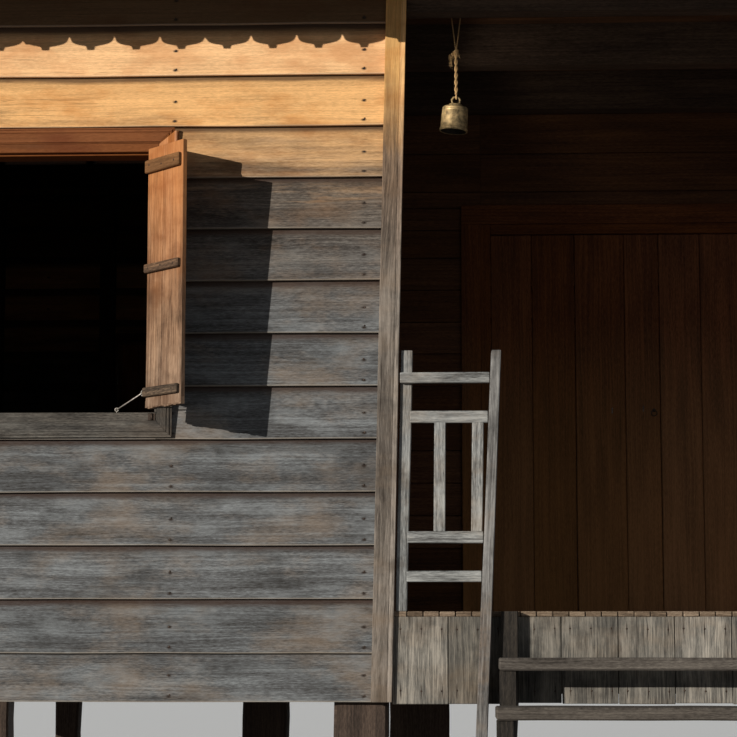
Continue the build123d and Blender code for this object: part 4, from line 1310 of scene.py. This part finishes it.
BELL_X = -RECESS + 0.288
BELL_Y = FRONT + 0.4
BELL_LOW = FLOOR + 2.135
BELL_HUNG = 0.159
BELL_TILT = math.radians(5)
KNOT = Vector((BELL_X, BELL_Y, FLOOR + 2.495))
KNOT_RADIUS = 0.0075
KNOT_TILTS = (0.0, 0.9, 1.9, 2.8)
HOOK_RADIUS = 0.0085
ROPE_SPREAD = 0.0047
ROPE_STRAND = 0.004
CORD_SPREAD = 0.0014
CORD_STRAND = 0.0017
BAR_Z = FLOOR + 2.705
BAR_LOOP = 0.0135
BAR_LOOP_X = 0.024
# Outside of the bell from its lip to its crown, and its hollow: radius and height
BELL_OUTLINE = (
    (0.0563, 0.001), (0.0575, 0.0), (0.0622, 0.0), (0.063, 0.002), (0.063, 0.0045), (0.0612, 0.0062),
    (0.063, 0.0078), (0.063, 0.0122), (0.0612, 0.014), (0.0604, 0.017), (0.0598, 0.03), (0.0588, 0.075),
    (0.0583, 0.087), (0.0572, 0.0888), (0.0583, 0.0905), (0.0583, 0.0965), (0.0571, 0.0985), (0.0578, 0.1),
    (0.0575, 0.105), (0.0545, 0.1095), (0.047, 0.1122), (0.035, 0.1132), (0.0312, 0.1142), (0.0308, 0.1162),
    (0.0312, 0.1182), (0.0312, 0.1215), (0.0295, 0.123), (0.0, 0.1235),
)
BELL_HOLLOW = ((0.0, 0.107), (0.046, 0.107), (0.0515, 0.098), (0.0563, 0.001))
CROWN_Z = 0.141
CROWN_RADIUS = 0.018


def lathe(name, outline, matrix, material, *replaces, sides=48):
    """Turned form of the bell from (radius, height) pairs round its own axis."""
    store = Store(name)
    for r, z in outline:
        for i in range(sides):
            turn = WHOLE_TURN * i / sides
            store.points.append(matrix @ Vector((r * math.cos(turn), r * math.sin(turn), z)))
    store.join(0, sides, len(outline))
    store.build(material, "bell_metal", *replaces, body="bell", smooth=True)


def make_bell():
    """Bell with ringed bands and a crown loop, and its rope."""
    hook = BELL_LOW + BELL_HUNG
    tilt = Matrix.Translation((BELL_X, BELL_Y, hook)) @ Matrix.Rotation(BELL_TILT, 4, "Y")
    tilt = tilt @ Matrix.Translation((0, 0, -BELL_HUNG))
    lathe("bell_body", BELL_OUTLINE, tilt, bronze, "bell")
    # The hollow's near-black metal is painted shade.
    lathe("bell_hollow", BELL_HOLLOW, tilt, bell_hollow_shade)
    loop = circle(Vector((0, 0, CROWN_Z)), (1, 0, 0), (0, 0, 1), CROWN_RADIUS, 28)
    crown = tube([tilt @ place for place in loop], 0.0045, 10)
    join_tubes("bell_crown", [crown], bronze, "bell_metal", body="bell")
    make_rope(hook)


def twisted(start, end, spread, radius, turns, phase=0.0):
    """Two strands wound round each other between two points."""
    tubes = []
    run = end - start
    side = run.orthogonal().normalized()
    up = run.normalized().cross(side)
    steps = max(12, int(turns * 14))
    for s in (0, 0.5):
        path = []
        for i in range(steps + 1):
            share = i / steps
            turn = WHOLE_TURN * (turns * share + s) + phase
            path.append(start + run * share + (side * math.cos(turn) + up * math.sin(turn)) * spread)
        tubes.append(tube(path, radius, 7))
    return tubes


def knot_wraps():
    """Turns of the knot, each tilted its own way."""
    tubes = []
    for i, tilt in enumerate(KNOT_TILTS):
        wrap = []
        for t in ring_turns(24):
            rise = 0.005 * (math.sin(t + tilt) + i - 1.5)
            wrap.append(KNOT + Vector((KNOT_RADIUS * math.cos(t), KNOT_RADIUS * math.sin(t), rise)))
        tubes.append(tube(wrap, 0.0042))
    return tubes


def frayed_ends():
    """Stray fibres round the knot and the rope's loose end, which hangs in a thin tuft."""
    tubes = []
    rnd = random.Random(151)
    for _ in range(26):
        stray = Vector((rnd.uniform(-0.024, 0.02), rnd.uniform(-0.012, 0.012), rnd.uniform(-0.02, 0.022)))
        path = [KNOT + stray * s + Vector((0, 0, -0.012 * s * s)) for s in (0, 0.35, 0.7, 1)]
        tubes.append(tube(path, 0.0007, 5))
    for _ in range(14):
        end = Vector((rnd.uniform(-0.034, -0.012), rnd.uniform(-0.006, 0.006), rnd.uniform(-0.075, -0.03)))
        path = []
        for j in range(7):
            s = j / 6
            bend = math.sin(math.pi * s)
            path.append(KNOT + end * s + Vector((-0.012 * bend, 0, 0.01 * bend)))
        tubes.append(tube(path, 0.0009, 5, lambda s: 1 - 0.7 * s))
    return tubes


def make_rope(hook):
    """Twisted rope from the crown loop to the knot, two strands up to the bar, and frayed ends."""
    up, back = (0, 0, 1), (0, 1, 0)
    foot = Vector((BELL_X, BELL_Y, hook + HOOK_RADIUS + 0.002))
    tubes = twisted(foot, KNOT, ROPE_SPREAD, ROPE_STRAND, 3)
    tubes.append(tube(circle(Vector((BELL_X, BELL_Y, hook)), back, up, HOOK_RADIUS, 20), 0.0038))
    tubes += knot_wraps()
    for side in (-1, 1):
        bar = Vector((BELL_X + side * BAR_LOOP_X, BELL_Y, BAR_Z))
        tubes += twisted(KNOT, bar - Vector((0, 0, BAR_LOOP)), CORD_SPREAD, CORD_STRAND, 10, side)
        tubes.append(tube(circle(bar, back, up, BAR_LOOP, 28), 0.003))
    tubes += frayed_ends()
    join_tubes("bell_rope_made", tubes, rope, "rope_fibre", "bell_rope", body="bell")


# Roof


PITCH = math.radians(30)
SLOPE = math.tan(PITCH)
COVER = 0.06
TILE_WIDTH = 0.15
TILE_GAUGE = 0.19
TILE_THICK = 0.013
TILE_GAP = 0.004
DECK_BOARD = 0.22
DECK_THICK = 0.011


def slope_axes(corner, along, uphill):
    """Corner, directions along and up a slope, and the one out of it."""
    corner, along, uphill = Vector(corner), Vector(along), Vector(uphill).normalized()
    normal = along.cross(uphill).normalized()
    return corner, along, uphill, -normal if normal.z < 0 else normal


def tile_outline():
    """Plan of a tile with a pointed foot: distances along the course and uphill."""
    wide, foot, head = TILE_WIDTH - TILE_GAP, 0.03, TILE_GAUGE + 0.03
    return (
        (0, foot), (wide * 0.16, 0.006), (wide * 0.5, 0), (wide * 0.84, 0.006), (wide, foot),
        (wide, head), (0, head),
    )


def tile_field(name, seed, plan, cuts, node):
    """Courses of flat clay tiles with pointed feet on a slope, cut at the hips and the ridge."""
    store = Store(name, seed)
    *axes, length, climb = plan
    corner, along, uphill, normal = slope_axes(*axes)
    outline = tile_outline()
    size = len(outline)
    for row in range(math.ceil(climb / TILE_GAUGE)):
        offset = (row % 2) * TILE_WIDTH / 2
        for i in range(math.ceil(length / TILE_WIDTH) + 1):
            left = i * TILE_WIDTH - offset + TILE_GAP / 2
            low = row * TILE_GAUGE + store.random.uniform(-0.002, 0.002)
            lift = store.random.uniform(0, 0.0015)
            start = len(store.points)
            store.tone += [store.random.random()] * (2 * size)
            for face in (0, 1):
                for a, b in outline:
                    height = 0.03 - 0.017 * b / TILE_GAUGE + lift + face * TILE_THICK
                    store.points.append(corner + along * (left + a) + uphill * (low + b) + normal * height)
            store.cap(start, size, True)
            store.cap(start + size, size)
            store.join(start, size)
    store.build(clay, "roof_tile", node, cuts=cuts)


def make_deck(name, plan, cuts):
    """Close boards on the rafters, under the tiles of one slope."""
    boards = Boards(name, 200, wander=0.001, step=1.2)
    *axes, length, climb = plan
    corner, along, uphill, normal = slope_axes(*axes)
    count = round(climb / DECK_BOARD)
    each = climb / count
    for i in range(count):
        low = corner + uphill * (i * each)
        boards.add(low, along * length, uphill * (each - 0.002), normal * DECK_THICK)
    boards.build(inner_wood, "inner_boards", cuts=cuts)


def make_roof():
    """Tiles on all four slopes, cap tiles on ridge and hips, and shaped eave boards."""
    x, y, z = box_of("roof_slope_front")
    deep = y[1] - y[0]
    middle, base, eave_x = y[1], z[0], x[1]
    climb = deep / math.cos(PITCH)
    ridge_end = eave_x - deep
    for side, name in ((-1, "front"), (1, "rear")):
        cuts = [((0, middle + side * 0.002, 0), (0, -side, 0))]
        for turn in (-1, 1):
            cuts.append(((turn * ridge_end, middle, 0), (turn, -side, 0)))
            cuts.append(((turn * eave_x, 0, 0), (turn, 0, 0)))
        corner = (-eave_x, middle + side * deep, base)
        plan = (corner, (1, 0, 0), (0, -side, SLOPE), 2 * eave_x, climb)
        tile_field(name + "_tiles", 160 + side, plan, cuts, "roof_slope_" + name)
        make_deck(name + "_roof_deck", plan, cuts)
    for side, name in ((-1, "left_hip"), (1, "right_hip")):
        cuts = [((side * ridge_end, middle, 0), (-side, turn, 0)) for turn in (1, -1)]
        corner = (side * eave_x, middle - deep, base)
        plan = (corner, (0, 1, 0), (-side, 0, SLOPE), 2 * deep, climb)
        tile_field(name + "_tiles", 170 + side, plan, cuts, "roof_hips")
        make_deck(name + "_deck", plan, cuts)
    make_caps(eave_x, ridge_end, middle, deep, base)
    make_eaves(eave_x, middle, deep)


CAP_GAUGE = 0.27
CAP_LENGTH = 0.32
CAP_RADIUS = 0.088
CAP_SIDES = 11
CAP_FROM = math.radians(-38)
CAP_ARC = math.radians(256)
CAP_INSET = 0.06


def cap_row(store, start, end):
    """Overlapping half-round tiles from a low point to a high one."""
    run = end - start
    ahead = run.normalized()
    side = ahead.cross(Vector((0, 0, 1))).normalized()
    up = side.cross(ahead)
    count = max(1, round(run.length / CAP_GAUGE))
    step = run.length / count
    size = CAP_SIDES + 1
    for i in range(count):
        base = len(store.points)
        store.tone += [store.random.random()] * (4 * size)
        tall = min(CAP_LENGTH, run.length - i * step)
        for at, grow in ((0, 1.0), (tall, 0.9)):
            for r in (CAP_RADIUS * grow, CAP_RADIUS * grow - TILE_THICK):
                for j in range(size):
                    turn = CAP_FROM + CAP_ARC * j / CAP_SIDES
                    spot = side * math.cos(turn) * r + up * (math.sin(turn) * r)
                    store.points.append(start + ahead * (i * step + at) + spot)
        for j in range(CAP_SIDES):
            a = base + j
            b = a + size
            store.faces += [
                (a, a + 1, a + 2 * size + 1, a + 2 * size), (b + 1, b, b + 2 * size, b + 2 * size + 1),
                (a + 1, a, b, b + 1), (a + 2 * size, a + 2 * size + 1, b + 2 * size + 1, b + 2 * size),
            ]
        for a in (base, base + CAP_SIDES):
            store.faces.append((a, a + 2 * size, a + 3 * size, a + size))


def make_caps(eave_x, ridge_end, middle, deep, base):
    """Half-round tiles over the hips and the ridge."""
    store = Store("cap_tiles", 181)
    top = base + COVER
    apex = top + deep * SLOPE
    for x in (-1, 1):
        for y in (-1, 1):
            foot = (x * (eave_x - CAP_INSET), middle + y * (deep - CAP_INSET), top + CAP_INSET * SLOPE)
            cap_row(store, Vector(foot), Vector((x * ridge_end, middle, apex)))
    cap_row(store, Vector((-ridge_end, middle, apex)), Vector((ridge_end, middle, apex)))
    store.build(clay, "roof_tile", "roof_caps")


# Half of the cut between two teeth of an eave board: distance from its middle, height over the teeth
NOTCH = (
    (0.0035, 0.058), (0.0055, 0.048), (0.009, 0.039), (0.015, 0.033), (0.024, 0.028), (0.042, 0.0225),
    (0.068, 0.0175), (0.081, 0.015), (0.0835, 0.001), (0.0845, 0.0),
)
TOOTH_PITCH = 0.1977
TOOTH_START = -0.0733
TOOTH_LOW = -0.17
EAVE_THICK = 0.014
EAVE_BEVEL = 0.022


def tooth_outline(length, rnd):
    """Lower edge of an eave board: pointed notches, curved shoulders and short square teeth."""
    edge = []
    for i in range(int(length / TOOTH_PITCH) + 2):
        x = i * TOOTH_PITCH + TOOTH_START
        tall = 1 + rnd.uniform(-0.06, 0.1)
        edge += [(x + a, TOOTH_LOW + h * tall) for a, h in NOTCH]
        edge += [(x + TOOTH_PITCH - a, TOOTH_LOW + h * tall) for a, h in reversed(NOTCH)]
    edge = [(a, h) for a, h in edge if 0.001 < a < length - 0.001]
    return [(0.0, edge[0][1]), *edge, (length, edge[-1][1])]


def eave_piece(store, origin, along, out, length, rnd):
    """Shaped eave board as quads between its top and its lower edge, which is bevelled behind."""
    origin, along, out = Vector(origin), Vector(along), Vector(out)
    edge = tooth_outline(length, rnd)
    base = len(store.points)
    offset = rnd.uniform(0, 20)
    for depth, raised in ((0, EAVE_BEVEL), (EAVE_THICK, 0.0)):
        for a, b in edge:
            for height in (0.0, b + raised):
                store.points.append(origin + along * a + out * depth + Vector((0, 0, height)))
                store.grain.append((offset + a, height))
                store.spot.append((0.0, 0.0))
                store.tone.append(0.5)
    size = 2 * len(edge)
    last = base + size - 2
    for a in range(base, last, 2):
        b = a + size
        store.faces += [
            (a, a + 2, a + 3, a + 1), (b + 2, b, b + 1, b + 3), (a + 1, a + 3, b + 3, b + 1),
            (a + 2, a, b, b + 2),
        ]
    for a in (base, last):
        store.faces.append((a, a + 1, a + 1 + size, a + size))


def make_eaves(eave_x, middle, deep):
    """Shaped boards along all four eaves."""
    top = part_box("long_eave_boards")[1][2]
    rnd = random.Random(191)
    corner = eave_x + EAVE_THICK
    long, ends = Store("long_eave_boards_made"), Store("end_eave_boards_made")
    for side in (-1, 1):
        eave_piece(long, (-corner, middle + side * deep, top), (1, 0, 0), (0, side, 0), 2 * corner, rnd)
    for side in (-1, 1):
        eave_piece(ends, (side * eave_x, middle - deep, top), (0, 1, 0), (side, 0, 0), 2 * deep, rnd)
    long.build(silver_wood, "silver_timber", "long_eave_boards")
    ends.build(silver_wood, "silver_timber", "end_eave_boards")


def dress_frame():
    """Materials for the CAD nodes that stay."""
    finishes = {
        "floor_beams": frame_wood["X"], "floor_joists": frame_wood["Y"], "wall_posts": frame_wood["Z"],
        "wall_plates": frame_wood["X"], "veranda_beams": frame_wood["X"], "rafters": frame_wood["Y"],
        "hip_rafters_and_ridge": frame_wood["X"], "stair_stringers": stair_wood, "bell_bar": iron,
        "door_ring_pull": iron,
    }
    for name, material in finishes.items():
        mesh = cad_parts[name].data
        mesh.materials.clear()
        mesh.materials.append(material)


# Camera, floor and light


CAMERA_PLACE = (-1.071, -11.6975, 1.4304)
CAMERA_TURN = (math.radians(90 + 6.956), 0, math.radians(2.137))
FLOOR_SIZE = 300
SUN_HEIGHT = math.radians(12.6)
SUN_TURN = math.radians(42)


def place_object(name, data):
    """Links an object for a camera, a lamp or a mesh."""
    obj = bpy.data.objects.new(name, data)
    scene.collection.objects.link(obj)
    return obj


def make_camera():
    """The photograph's view: a long lens a little below the veranda's floor, looking up."""
    camera = bpy.data.cameras.new("camera")
    camera.lens = 105.9
    camera.sensor_width = 36
    obj = place_object("camera", camera)
    obj.location = CAMERA_PLACE
    obj.rotation_euler = CAMERA_TURN
    scene.camera = obj


def make_floor():
    """Plain pale floor."""
    n = Nodes("studio_floor")
    n.close(n.mix(n.seen(), (0.2, 0.19, 0.18), (0.8, 0.8, 0.79)), 0.9)
    mesh = bpy.data.meshes.new("studio_floor")
    corners = [(x * FLOOR_SIZE, y * FLOOR_SIZE, 0) for x, y in ((-1, -1), (1, -1), (1, 1), (-1, 1))]
    mesh.from_pydata(corners, [], [(0, 1, 2, 3)])
    mesh.materials.append(n.material)
    place_object("studio_floor", mesh)


def make_lamp(name, kind, energy, colour, towards):
    """Lamp that shines in a direction."""
    lamp = bpy.data.lights.new(name, kind)
    lamp.energy = energy
    lamp.color = colour
    obj = place_object(name, lamp)
    obj.rotation_euler = towards.to_track_quat("-Z", "Y").to_euler()
    return obj


def make_bell_lamp():
    """Small warm lamp beside the bell, from the front left."""
    place = Vector((-RECESS + 0.05, FRONT + 0.17, FLOOR + 2.2))
    aim = Vector((BELL_X, BELL_Y, FLOOR + 2.3)) - place
    obj = make_lamp("bell_lamp", "SPOT", 5.5, (1.0, 0.9, 0.76), aim)
    obj.location = place
    obj.visible_camera = False
    obj.data.spot_size = math.radians(60)
    obj.data.spot_blend = 0.5
    obj.data.shadow_soft_size = 0.05


def make_light():
    """A low lamp from the front left and an even pale surround."""
    level = math.cos(SUN_HEIGHT)
    towards = Vector((math.sin(SUN_TURN) * level, math.cos(SUN_TURN) * level, -math.sin(SUN_HEIGHT)))
    sun = make_lamp("key", "SUN", 4.3, (1.0, 0.95, 0.87), towards)
    sun.data.angle = math.radians(0.3)
    make_bell_lamp()
    world = bpy.data.worlds.new("surround")
    n = Nodes("surround", world)
    n.put(n.shader.inputs["Color"], n.mix(n.seen(), (0.215, 0.23, 0.25), (0.72, 0.73, 0.74)))
    scene.world = world


make_camera()
make_walls()
make_inner_walls()
make_corner_boards()
make_window_frames()
make_shutters()
make_stays()
make_door()
make_floors()
make_railings()
make_stair()
make_stilts()
make_bell()
make_roof()
dress_frame()
make_floor()
make_light()
